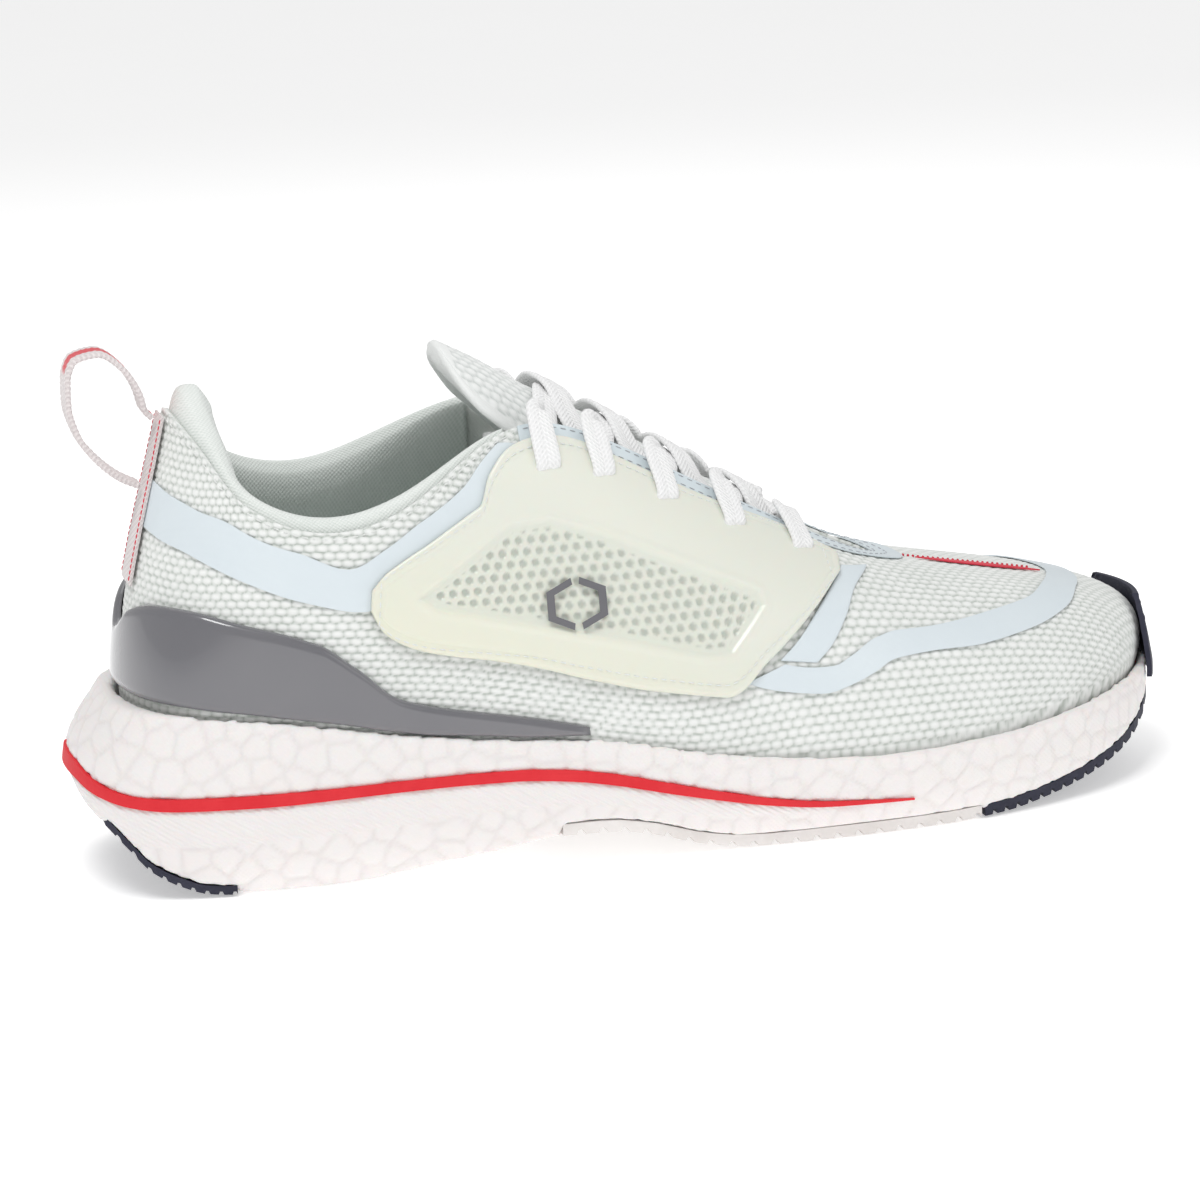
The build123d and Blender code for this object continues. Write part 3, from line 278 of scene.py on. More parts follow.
# ---- meshes ----
def new_piece(name, points, faces, material, body, replaced, marks=None):
    """Mesh object from points in millimetres, riding on a body, standing for CAD nodes."""
    mesh = bpy.data.meshes.new(name)
    faces = faces if isinstance(faces, list) else faces.tolist()
    mesh.from_pydata(((np.asarray(points, float) + SHIFT) * MM).tolist(), [], faces)
    for label, values in (marks or {}).items():
        add_mark(mesh, label, values)
    face_outward(mesh)
    mesh.materials.append(material)
    piece = put(mesh, body)
    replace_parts(piece, *replaced)
    return piece


def worked_out(holder, name):
    """Plain mesh of an object with its modifier worked out; the object goes away."""
    graph = bpy.context.evaluated_depsgraph_get()
    mesh = bpy.data.meshes.new_from_object(holder.evaluated_get(graph))
    bpy.data.objects.remove(holder)
    mesh.name = name
    return mesh


def put(mesh, body):
    """The piece that shows a mesh, named like it."""
    piece = bpy.data.objects.new(mesh.name, mesh)
    bpy.context.scene.collection.objects.link(piece)
    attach(piece, body)
    return piece


def add_mark(mesh, label, values):
    """One number for each point, for the mesh's finish to read."""
    mark = mesh.attributes.new(label, "FLOAT", "POINT")
    mark.data.foreach_set("value", np.asarray(values, np.float32).ravel())


def face_outward(mesh):
    """Faces outward and smooth."""
    work = bmesh.new()
    work.from_mesh(mesh)
    bmesh.ops.recalc_face_normals(work, faces=work.faces)
    for face in work.faces:
        face.smooth = True
    work.to_mesh(mesh)
    work.free()


def place_sides(names, nodes, sheet, material, marks=None):
    """The same sheet on the lateral and the medial side; sheet(place) gives its two faces."""
    for name, node, place in zip(names, nodes, (lambda rib: rib, lambda rib: RIBS - rib)):
        points, faces = loft(sandwich(*sheet(place)))
        new_piece(name, points, faces, FINISHES[material], "shoe", (node,), marks)


def rounded(edge, reach):
    """How far a rounded border drops, from 1 at the edge to 0 at the reach."""
    return 1 - np.sqrt(1 - (1 - np.clip(edge / reach, 0, 1)) ** 2)


def loft(sections, wrap=False):
    """Points and faces of a tube of closed sections (n, around, 3); the ends are closed."""
    n, around = sections.shape[:2]
    index = np.arange(n * around).reshape(n, around)
    rows = index if not wrap else np.concatenate([index, index[:1]])
    a, b = rows[:-1], rows[1:]
    quads = np.stack([a, b, np.roll(b, -1, 1), np.roll(a, -1, 1)], -1).reshape(-1, 4)
    if wrap:
        return sections.reshape(-1, 3), quads
    caps = []
    for row in (index[0], index[-1]):
        for j in range(around // 2 - 1):
            caps.append([row[j], row[j + 1], row[around - 2 - j], row[around - 1 - j]])
    return sections.reshape(-1, 3), np.concatenate([quads, np.array(caps)])


def sandwich(outer, inner):
    """Sections that run over an outer sheet and back along an inner one."""
    return np.concatenate([outer, inner[:, ::-1]], 1)


# ---- materials ----
def add_node(tree, kind, sockets, settings):
    """New node of a tree, with its settings, and its inputs linked or set."""
    made = tree.nodes.new(kind)
    for label, value in settings.items():
        setattr(made, label, value)
    for key, value in (sockets or {}).items():
        if isinstance(value, bpy.types.NodeSocket):
            tree.links.new(value, made.inputs[key])
        else:
            made.inputs[key].default_value = value
    return made


class Wire:
    """A shader value that takes part in sums; numbers alone are worked out in Python."""

    def __init__(self, maker, socket):
        self.maker, self.socket = maker, socket

    def work(self, operation, *values):
        return self.maker.node("ShaderNodeMath", {i: v for i, v in enumerate(values)}, operation=operation)

    def __add__(self, other):
        return self.work("ADD", self, other)

    def __sub__(self, other):
        return self.work("SUBTRACT", self, other)

    def __rsub__(self, other):
        return self.work("SUBTRACT", other, self)

    def __mul__(self, other):
        return self.work("MULTIPLY", self, other)

    __radd__, __rmul__ = __add__, __mul__

    def sine(self):
        return self.work("SINE", self)

    def size(self):
        return self.work("ABSOLUTE", self)

    def clamp(self):
        return self.work("MINIMUM", self.work("MAXIMUM", self, 0.0), 1.0)


class Finish:
    """Material made of nodes round one Principled shader."""

    def __init__(self, name, **values):
        self.material = bpy.data.materials.new(name)
        self.material.use_nodes = True
        self.tree = self.material.node_tree
        self.shader = self.tree.nodes["Principled BSDF"]
        for label, value in values.items():
            self.shader.inputs[label.replace("_", " ").title()].default_value = value

    def node(self, kind, sockets=None, out=0, **settings):
        sockets = {key: getattr(value, "socket", value) for key, value in (sockets or {}).items()}
        return Wire(self, add_node(self.tree, kind, sockets, settings).outputs[out])

    def place(self):
        return self.node("ShaderNodeTexCoord", out="Object")

    def xyz(self):
        split = self.node("ShaderNodeSeparateXYZ", {0: self.place()})
        return [Wire(self, s) for s in split.socket.node.outputs]

    def mark(self, name):
        return self.node("ShaderNodeAttribute", out="Fac", attribute_name=name)

    def noise(self, scale, detail=3.0, rough=0.5):
        return self.node("ShaderNodeTexNoise", {"Vector": self.place(), "Scale": scale, "Detail": detail,
                                                "Roughness": rough})

    def cells(self, scale):
        return self.node("ShaderNodeTexVoronoi", {"Vector": self.place(), "Scale": scale})

    def blend(self, share, first, second):
        """Colour between two colours."""
        sockets = {0: share, 6: first if isinstance(first, Wire) else (*first, 1),
                   7: second if isinstance(second, Wire) else (*second, 1)}
        return self.node("ShaderNodeMix", sockets, out=2, data_type="RGBA")

    def feed(self, **wires):
        for label, wire in wires.items():
            self.tree.links.new(wire.socket, self.shader.inputs[label.replace("_", " ").title()])

    def bump(self, height, depth, strength=1.0):
        """Relief: height 0..1 stands for depth in metres."""
        relief = self.node("ShaderNodeBump", {"Height": height, "Distance": depth, "Strength": strength})
        self.feed(normal=relief)
        return self


def weave(finish, pitch):
    """Plain weave on object coordinates, 0 in the gaps and 1 on the threads."""
    x, y, z = finish.xyz()
    turn = 2 * math.pi / pitch
    across = ((x + y * 0.35) * turn).sine()
    down = ((z + y * 0.7) * turn).sine()
    return (across * down * 0.5 + 0.5).clamp()


def knit_finish(name, white, gap_shade):
    f = Finish(name, roughness=0.88, sheen_weight=0.25, sheen_roughness=0.5)
    cell = f.mark("knit")
    yarn = weave(f, 0.0007)
    # Painted shade: darker grey-green in the sunk gaps between knit cells, white on the raised cell tops;
    # noise adds random tone.
    tone = (cell * 0.85 + f.noise(90.0) * 0.25 - 0.05).clamp()
    colour = f.blend(tone, gap_shade, white)
    colour = f.blend(f.noise(14.0, 2.0) * 0.25, colour, tuple(0.88 * c for c in white))
    f.feed(base_color=colour, roughness=0.95 - cell * 0.15)
    return f.bump(yarn * 0.6 + f.noise(2600.0) * 0.4, 0.00012, 0.6).material


def cloth_finish(name, colour, shade, pitch=0.0011, depth=0.00018):
    f = Finish(name, roughness=0.9, sheen_weight=0.35, sheen_roughness=0.4)
    threads = weave(f, pitch)
    # Painted shade: darker in the gaps between threads, lighter on the threads; noise adds random tone.
    tone = (threads * 0.7 + f.noise(60.0) * 0.5 - 0.1).clamp()
    f.feed(base_color=f.blend(tone, shade, colour), roughness=0.96 - threads * 0.12)
    return f.bump(threads * 0.8 + f.noise(3000.0) * 0.2, depth, 0.8).material


def film_finish(name, colour, shade):
    f = Finish(name, roughness=0.36, coat_weight=0.25, coat_roughness=0.25)
    haze = f.noise(35.0, 4.0)
    f.feed(base_color=f.blend((haze * 1.6 - 0.4).clamp(), shade, colour),
           roughness=0.3 + f.noise(400.0) * 0.2)
    return f.bump(weave(f, 0.0028) * 0.7 + haze * 0.3, 0.00006, 0.5).material


def panel_finish(name):
    """Milky clear rubber: yellower low at the back, with painted shade in the holes for the mesh that shows
    through them in shade.
    """
    f = Finish(name, coat_weight=0.35, coat_roughness=0.2, subsurface_weight=0.12, subsurface_scale=0.002)
    x, _, z = f.xyz()
    low_back = (0.62 - (x + 0.06) * 6.5 - (z - 0.045) * 13.0).clamp()
    colour = f.blend(low_back * 0.8, (0.765, 0.775, 0.69), (0.80, 0.78, 0.53))
    colour = f.blend(f.noise(25.0, 3.0) * 0.4, colour, (0.74, 0.755, 0.68))
    colour = f.blend(f.mark("thin") * 0.6, colour, (0.70, 0.72, 0.64))
    # Painted shade: the holes are dark, standing for the mesh seen in shade at their bottom.
    colour = f.blend(f.mark("hole") * 0.85, colour, (0.48, 0.50, 0.44))
    f.feed(base_color=colour, roughness=0.26 + f.noise(180.0) * 0.16)
    return f.bump(f.noise(900.0) * 0.5 + f.noise(120.0) * 0.5, 0.00008, 0.5).material


def clip_finish(name):
    f = Finish(name, coat_weight=0.9, coat_roughness=0.06)
    wear = f.noise(45.0, 5.0)
    f.feed(base_color=f.blend(wear * 0.5, (0.135, 0.135, 0.15), (0.175, 0.17, 0.18)),
           roughness=0.16 + f.noise(260.0) * 0.14)
    return f.bump(f.noise(70.0), 0.00012, 0.3).material


def foam_finish(name):
    """Bead foam: white beads with soft seams and a fine grid pressed into the skin."""
    f = Finish(name, roughness=0.6, subsurface_weight=0.15, subsurface_scale=0.003)
    bead, ribs = f.mark("bead"), f.mark("ribbed")
    x, _, z = f.xyz()
    grid = ((x * 5200.0).sine() * (z * 5200.0).sine()) * 0.5 + 0.5
    lines = ((x * 0.75 + z * 1.2) * 3900.0).sine() * 0.5 + 0.5
    # Painted shade: darker pinkish grey in the seams between beads, lighter in the bead middles; noise adds
    # random tone.
    colour = f.blend((bead * 0.8 + f.noise(60.0) * 0.3).clamp(), (0.75, 0.71, 0.70), (0.83, 0.80, 0.79))
    colour = f.blend(f.noise(9.0, 2.0) * 0.5, colour, (0.84, 0.81, 0.795))
    f.feed(base_color=colour, roughness=0.62 - bead * 0.12 + f.noise(300.0) * 0.1)
    height = grid * (1 - ribs) * 0.35 + lines * ribs + f.noise(1400.0) * 0.2
    return f.bump(height, 0.0002, 0.7).material


def rubber_finish(name, colour, worn, grain=1500.0):
    f = Finish(name, roughness=0.55)
    scuff = f.noise(80.0, 5.0, 0.7)
    f.feed(base_color=f.blend((scuff * 2.2 - 0.9).clamp(), colour, worn), roughness=0.5 + scuff * 0.3)
    return f.bump(f.noise(grain) * 0.6 + f.cells(900.0) * 0.4, 0.00015, 0.6).material


def woven_finish(name, colour, shade, stripe=None):
    """Flat woven tape on its own map: along is in millimetres, across runs -1..1."""
    f = Finish(name, roughness=0.85, sheen_weight=0.3, sheen_roughness=0.4)
    along, across = f.mark("along"), f.mark("across")
    rows = (along * 5.2 + (across * 7.0).size() * 2.2).sine() * 0.5 + 0.5
    strands = (across * 21.0).sine() * 0.5 + 0.5
    height = (rows * 0.65 + strands * 0.35).clamp()
    # Painted shade: darker in the low rows and between strands, lighter on the raised weave.
    body = f.blend(height, shade, colour)
    if stripe:
        body = f.blend(f.mark("stripe"), body, stripe)
        # More painted shade: the low parts of the weave are darkened further towards a dark red-brown.
        body = f.blend((1 - height) * 0.12, body, (0.3, 0.2, 0.2))
    f.feed(base_color=body, roughness=0.92 - height * 0.12)
    return f.bump(height + f.noise(2600.0) * 0.25, 0.00022, 0.9).material


def thread_finish(name, colour):
    f = Finish(name, roughness=0.7, sheen_weight=0.2)
    x, y, z = f.xyz()
    twist = ((x + y + z) * 9000.0).sine() * 0.5 + 0.5
    f.feed(base_color=f.blend(twist * 0.3, colour, tuple(0.7 * c for c in colour)),
           roughness=0.65 + twist * 0.15)
    return f.bump(twist, 0.00008, 0.6).material


# Knit white, and the darker colour painted as shade in the gaps between knit cells.
KNIT_WHITE, KNIT_GAP_SHADE = (0.88, 0.89, 0.875), (0.43, 0.48, 0.43)
LINING_MINT, LINING_SHADE = (0.80, 0.88, 0.82), (0.62, 0.72, 0.65)

FINISHES = {
    "knit": knit_finish("white_knit", KNIT_WHITE, KNIT_GAP_SHADE),
    "tongue": knit_finish("tongue_knit", (0.88, 0.89, 0.88), (0.52, 0.56, 0.54)),
    "collar": cloth_finish("collar_textile", (0.86, 0.88, 0.86), (0.66, 0.71, 0.67)),
    "lining": cloth_finish("mint_lining", LINING_MINT, LINING_SHADE, 0.0016),
    "insole": cloth_finish("insole_cover", (0.70, 0.76, 0.74), (0.50, 0.58, 0.56), 0.0008),
    "board": cloth_finish("needled_board", (0.62, 0.62, 0.58), (0.48, 0.48, 0.45), 0.0018),
    "stiffener": rubber_finish("pressed_stiffener", (0.62, 0.57, 0.50), (0.70, 0.66, 0.60), 700.0),
    "film": film_finish("pearl_film", (0.72, 0.785, 0.815), (0.67, 0.74, 0.78)),
    "eyestay": film_finish("eyestay_film", (0.72, 0.79, 0.82), (0.66, 0.74, 0.78)),
    "panel": panel_finish("milky_panel"),
    "clip": clip_finish("gloss_grey_clip"),
    "foam": foam_finish("bead_foam"),
    "red": rubber_finish("red_stripe", (0.68, 0.006, 0.016), (0.75, 0.03, 0.04)),
    "navy": rubber_finish("navy_outsole", (0.010, 0.011, 0.030), (0.035, 0.036, 0.060)),
    "white_rubber": rubber_finish("white_outsole", (0.80, 0.77, 0.75), (0.70, 0.66, 0.63)),
    "lace": woven_finish("flat_lace", (0.94, 0.94, 0.94), (0.82, 0.82, 0.82)),
    "loop": woven_finish("loop_webbing", (0.86, 0.81, 0.80), (0.72, 0.66, 0.66), (0.74, 0.05, 0.07)),
    "tape": cloth_finish("heel_tape_weave", (0.82, 0.77, 0.76), (0.56, 0.50, 0.50), 0.0012),
    "print": rubber_finish("red_print", (0.70, 0.03, 0.06), (0.60, 0.03, 0.05)),
    "mark": clip_finish("raised_mark"),
    "thread": thread_finish("pale_thread", (0.80, 0.82, 0.80)),
    "grey_thread": thread_finish("grey_thread", (0.45, 0.47, 0.50)),
    "red_thread": thread_finish("red_dots", (0.66, 0.02, 0.05)),
}
NODE_FINISH = {
    "sidewall_stripe": "red", "toe_guard": "navy", "strobel_board": "board",
    "upper_lining": "lining", "heel_counter": "stiffener", "toe_puff": "stiffener", "eyestay": "eyestay",
    "heel_film_lateral": "film", "heel_film_medial": "film", "toe_film": "film",
    "heel_tape": "tape", "vamp_print": "print", "emblem_front": "mark", "emblem_rear": "mark",
    "outsole_heel": "navy", "outsole_forefoot": "white_rubber", "outsole_toe": "navy",
}


def dress_nodes():
    for name, finish in NODE_FINISH.items():
        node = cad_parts[name]
        node.data.materials.clear()
        node.data.materials.append(FINISHES[finish])


# ---- knitted upper ----
KNIT_LONG, KNIT_HIGH = 3.0, 1.9         # one knit cell
KNIT_SUNK = 0.42
VAMP_RADIUS = 44.0                      # the forefoot is close to round about a line at this height
VAMP_CENTRE_Z = 12.0
FOOT_ANGLE = 0.14


def knit_cells(along, up):
    """Height of staggered knit cells, 0 in the gaps and 1 on top."""
    row = np.floor(up / KNIT_HIGH)
    a = (along / KNIT_LONG + 0.5 * (row % 2)) % 1 - 0.5
    b = (up / KNIT_HIGH) % 1 - 0.5
    return np.clip(1.15 - (1.9 * np.abs(a)) ** 2.2 - (2.0 * np.abs(b)) ** 2.2, 0, 1) ** 0.6


def knit_map(rib, point):
    """Even coordinates on the upper, in millimetres: round the shoe at the heel, across it at the toe."""
    foot = upper_point(rib[:, :1], 0.3)
    around = lengths(foot[:, 0])[:, None] + 0 * rib
    up = lengths(np.moveaxis(point, 1, 0)).T
    angle = np.arctan2(point[..., 2] - VAMP_CENTRE_Z, TONGUE_MIDDLE_Y - point[..., 1])
    front = smooth_step((rib - 5.6) / 2.2)
    join = TOE_RIB / 2 + 0.6
    x_to_around = np.interp(join, rib[:, 0], around[:, 0]) - upper_point(join, 0.3)[0]
    along = around * (1 - front) + (point[..., 0] + x_to_around) * front
    over = VAMP_RADIUS * (angle - FOOT_ANGLE)
    return along, up * (1 - front) + over * front


def knit_half(side):
    """One half of the knitted upper, heel seam to toe centre."""
    columns, rows = 620, 138
    rib = np.linspace(0, TOE_RIB, columns)[:, None]
    v = np.concatenate([np.linspace(0, 0.1, 6)[:-1], np.linspace(0.1, 1, rows - 5)])[None, :]
    rib, v = rib + 0 * v, v + 0 * rib
    lateral = upper_point(rib, v)
    along, up = knit_map(rib, lateral)
    relief = knit_cells(along, up)
    place = rib if side < 0 else RIBS - rib
    fade = smooth_step((1 - v) * 40)
    outer = skin(place, v, -KNIT_SUNK * (1 - relief) * (0.35 + 0.65 * fade))
    inner_v = np.linspace(0, 1, 10)[None, :] + 0 * place[:, :1]
    inner = skin(place[:, :1] + 0 * inner_v, inner_v, -MESH + 0 * inner_v)
    points = np.concatenate([outer.reshape(-1, 3), inner.reshape(-1, 3)])
    a = np.arange(outer.shape[0] * outer.shape[1]).reshape(outer.shape[:2])
    b = a.size + np.arange(inner.shape[0] * inner.shape[1]).reshape(inner.shape[:2])
    faces = [grid_quads(a), grid_quads(b)]
    faces.append(strip_quads(a[:, 0], b[:, 0]))
    faces.append(strip_quads(a[:, -1], b[:, -1]))
    quads = np.concatenate(faces)
    mesh_faces = quads.tolist() + [list(a[0]) + list(b[0, ::-1]), list(a[-1]) + list(b[-1, ::-1])]
    # knit mark: 1 on the raised cells, 0 in the gaps; the knit finish paints shade in the gaps from it.
    knit = np.concatenate([relief.ravel(), np.full(inner.shape[0] * inner.shape[1], 0.7)])
    return points, mesh_faces, knit


def grid_quads(index):
    return np.stack([index[:-1, :-1], index[1:, :-1], index[1:, 1:], index[:-1, 1:]], -1).reshape(-1, 4)


def strip_quads(a, b):
    return np.stack([a[:-1], a[1:], b[1:], b[:-1]], -1)


def make_upper():
    for name, side in (("knit_upper_lateral", -1), ("knit_upper_medial", 1)):
        points, faces, knit = knit_half(side)
        piece = new_piece(name, points, faces, FINISHES["knit"], "shoe", ("upper_mesh",),
                          {"knit": knit})
        ends = (len(faces) - 2, len(faces) - 1)
        for end in ends:
            piece.data.polygons[end].use_smooth = False
        sharp_borders(piece.data, ends)


def sharp_borders(mesh, polygons):
    """Edges of some polygons shade sharp, so that two halves meet without a dark line."""
    wanted = set()
    for number in polygons:
        wanted.update(tuple(sorted(key)) for key in mesh.polygons[number].edge_keys)
    for edge in mesh.edges:
        if tuple(sorted(edge.vertices)) in wanted:
            edge.use_edge_sharp = True


# ---- collar and tongue ----
# Section of the collar: share of the depth inside, rise over the topline, bulge inward.
COLLAR_SECTION = np.array([
    (1, 0, 0), (0.6, 0, 0), (0.25, 0, 0), (0, 0, 0), (0, -0.06, 0.05), (0, -0.12, 0.4), (0, -0.15, 1.4),
    (0, -0.16, 2.6), (0, -0.12, 4.0), (0, -0.06, 5.3), (0.06, 0, 6.0), (0.18, 0, 6.1), (0.35, 0, 5.6),
    (0.55, 0, 4.6), (0.8, 0, 2.9), (0.94, 0, 1.6), (1, 0, 0.9)])
COLLAR_END_RIB = 5.35


def make_collar():
    """Padded collar that rolls over the topline."""
    rib = np.linspace(-COLLAR_END_RIB, COLLAR_END_RIB, 300)
    plump = 1 + 0.85 * (1 - smooth_step(np.abs(rib) / 1.8)) - 0.6 * smooth_step((np.abs(rib) - 3.6) / 1.7)
    low = PAD_DEEP - 0.3 + (LACE_ZONE - PAD_DEEP) * smooth_step((np.abs(rib) - 4.2) / 1.4)
    corners = np.linspace(0, 1, len(COLLAR_SECTION))
    spread = line_through(corners, COLLAR_SECTION)(np.linspace(0, 1, 56))
    share, above, bulge = spread.T[:, None, :]
    below = share * low[:, None] + above * ROLL_HIGH * plump[:, None]
    rows = skin_below(rib[:, None] % RIBS, below, -(MESH + LAYER_GAP) - bulge * plump[:, None])
    points, faces = loft(rows)
    piece = new_piece("collar_cushion", points, faces, FINISHES["collar"], "shoe", ("collar_pad",))


TONGUE_X, TONGUE_Z = np.array(TONGUE_RIDGE, float).T
ridge_by_x = line_through(TONGUE_X[::-1], TONGUE_Z[::-1])
droop_by_x = line_through(TONGUE_X[::-1], np.array(TONGUE_DROOP)[::-1])


def tongue_height(x, y):
    return ridge_by_x(x) - droop_by_x(x) * (np.asarray(y) - TONGUE_MIDDLE_Y) ** 2


def make_tongue():
    """Padded knitted tongue with a rolled edge."""
    long, wide = 250, 100
    s = resample(np.stack([TONGUE_X, TONGUE_Z, TONGUE_HALF], -1), long)
    t = np.linspace(-1, 1, wide)[None, :]
    to_tip = lengths(s[::-1, :2])[::-1]
    corner = np.clip(TIP_CORNER - to_tip, 0, TIP_CORNER)
    half = (s[:, 2] - TIP_CORNER + np.sqrt(TIP_CORNER**2 - corner**2))[:, None]
    x = s[:, :1] + 0 * t
    y = TONGUE_MIDDLE_Y + half * t
    top = np.stack([x, y, tongue_height(x, y)], -1)
    slope = np.gradient(s[:, 1], s[:, 0])[:, None]
    side = -2 * droop_by_x(x) * (y - TONGUE_MIDDLE_Y)
    normal = unit(np.stack([-slope + 0 * t, -side, 1 + 0 * x], -1))
    at = np.linspace(0, 1, long)
    plump = (smooth_step(at * 8) * (1 - rounded(to_tip, 4.5)))[:, None]
    thick = TONGUE_EDGE + TONGUE_PAD * (1 - t**4) * plump
    along = lengths(s[:, :2])[:, None] + 0 * t
    from_side, from_tip = half * (1 - np.abs(t)), ((1 - at) * TONGUE_LONG)[:, None]
    binding = smooth_step((from_side - 2.4) / 0.8) * smooth_step((from_tip - 3.2) / 0.9)
    relief = knit_cells(along, y + 100)
    sunk = KNIT_DEEP * (1 - relief) * binding
    groove = np.exp(-(((from_side - 2.6) / 0.5) ** 2)) * 0.35
    edge = np.minimum(from_side, from_tip)
    round_off = 0.9 * rounded(edge, 1.2)
    over = sunk + groove + round_off
    upper = top - normal * over[..., None]
    lower = top - normal * np.maximum(thick - round_off * 0.6, over + 0.4)[..., None]
    knit = np.concatenate([np.where(binding > 0.5, relief, 0.9), np.full(x.shape, 0.8)[:, ::-1]], 1)
    points, faces = loft(sandwich(upper, lower))
    piece = new_piece("tongue_pad", points, faces, FINISHES["tongue"], "tongue_body", ("tongue",),
                      {"knit": knit})


# ---- lace ----
OVER = LAYER_GAP * 3 + FILM + PANEL + LACE_THICK / 2        # lace on top of the side panel
UNDER = -(MESH + 0.5 + LACE_THICK / 2)                      # lace below the mesh
INSIDE = UNDER - LINING - LAYER_GAP                         # lace inside the lining
TURN = (OVER - UNDER) / 2
EDGE_OVER, EDGE_UNDER = -2.3, 1.0
TAIL_RIBS = (5.75, 6.0, 6.5, 7.1, 7.7, 8.3)
TAIL_BELOW = (EYELET_DEPTH + 8, 26, 31, 32, 31, 30)


def eyelet(side, row, below, depth):
    rib = EYELET_RIBS[row]
    return skin_below(RIBS - rib if side else rib, below, depth)


def eyelet_frame(side, row):
    """Outward normal at a lace hole and the direction from it to the throat edge."""
    rib = RIBS - EYELET_RIBS[row] if side else EYELET_RIBS[row]
    normal = upper_normal(rib, v_below(rib, EYELET_DEPTH))
    toward = eyelet(side, row, EYELET_DEPTH - 2, 0.0) - eyelet(side, row, EYELET_DEPTH + 2, 0.0)
    return normal, unit(toward)


def hole_turn(side, row, angles=(90, 45, 0, -45, -90)):
    """U-turn of the lace through a hole, from outside to inside."""
    normal, toward = eyelet_frame(side, row)
    middle = eyelet(side, row, EYELET_DEPTH, (OVER + UNDER) / 2)
    facing = [math.sin(a) * normal - math.cos(a) * toward for a in np.radians(angles)]
    return [middle + TURN * out for out in facing], facing


def crossing(side_from, row_from, side_to, row_to, start_depth, end_depth, lift):
    """Run of the lace over the tongue from one throat edge to the other."""
    start = eyelet(side_from, row_from, EDGE_OVER if start_depth > 0 else EDGE_UNDER, start_depth)
    end = eyelet(side_to, row_to, EDGE_OVER if end_depth > 0 else EDGE_UNDER, end_depth)
    points, facing = [start], [eyelet_frame(side_from, row_from)[0]]
    for t in (0.22, 0.36, 0.5, 0.64, 0.78):
        x, y = start[:2] * (1 - t) + end[:2] * t
        rise = lift * math.sin(math.pi * t) ** 2 + 0.5 + LACE_THICK / 2
        if end_depth > 0:
            rise += 1.3 * smooth_step((t - 0.55) / 0.25)
        if start_depth > 0:
            rise += 1.3 * smooth_step((0.45 - t) / 0.25)
        n = unit(np.array([tongue_height(x - 0.5, y) - tongue_height(x + 0.5, y),
                           tongue_height(x, y - 0.5) - tongue_height(x, y + 0.5), 1.0]))
        points.append(np.array([x, y, float(tongue_height(x, y))]) + n * rise)
        facing.append(n)
    return points + [end], facing + [eyelet_frame(side_to, row_to)[0]]


def tail(side):
    """End of the lace, tucked inside along the lining."""
    normal, toward = eyelet_frame(side, 0)
    points, facing = hole_turn(side, 0, (90, 45, 0))
    points.append(eyelet(side, 0, EYELET_DEPTH + TURN + 0.1, UNDER - 0.2))
    facing.append(normal - toward)
    points.append(eyelet(side, 0, EYELET_DEPTH + TURN + 2.4, INSIDE - 0.5))
    facing.append(normal)
    for rib, below in zip(TAIL_RIBS, TAIL_BELOW):
        rib = RIBS - rib if side else rib
        points.append(skin_below(rib, below, INSIDE - 0.2))
        facing.append(upper_normal(rib, v_below(rib, below)))
    return points, facing


def lace_route():
    """Centre line and facing of the whole lace, from one tucked end to the other."""
    last = len(EYELET_RIBS) - 1
    halves = []
    for first_side in (0, 1):
        parts, side, row = [], first_side, last
        while row > 0:
            parts.append(hole_turn(side, row))
            lift = LACE_THICK + 1.0 if side == 0 else 0.0
            parts.append(crossing(side, row, 1 - side, row - 1, UNDER, OVER, lift))
            side, row = 1 - side, row - 1
        parts.append(tail(side))
        halves.append([sum((list(part[k]) for part in parts), []) for k in (0, 1)])
    (lat_points, lat_facing), (med_points, med_facing) = halves
    points, facing = crossing(0, last, 1, last, OVER, OVER, 0.0)
    points = np.array(lat_points[::-1] + points + med_points)
    facing = np.array(lat_facing[::-1] + facing + med_facing)
    for i in range(1, len(facing)):
        if facing[i] @ facing[i - 1] < 0:
            facing[i] = -facing[i]
    return points, facing


def natural_spline(xs, ys, at):
    """Smooth cubic through rows of numbers, with free ends."""
    h = np.diff(xs)
    n = len(xs)
    system, right = np.zeros((n, n)), np.zeros((n, ys.shape[1]))
    system[0, :2], system[-1, -2:] = (2, 1), (1, 2)
    d = np.diff(ys, axis=0) / h[:, None]
    right[0], right[-1] = 3 * d[0], 3 * d[-1]
    for i in range(1, n - 1):
        system[i, i - 1:i + 2] = h[i], 2 * (h[i - 1] + h[i]), h[i - 1]
        right[i] = 3 * (h[i] * d[i - 1] + h[i - 1] * d[i])
    return hermite(xs, ys, np.linalg.solve(system, right), at)


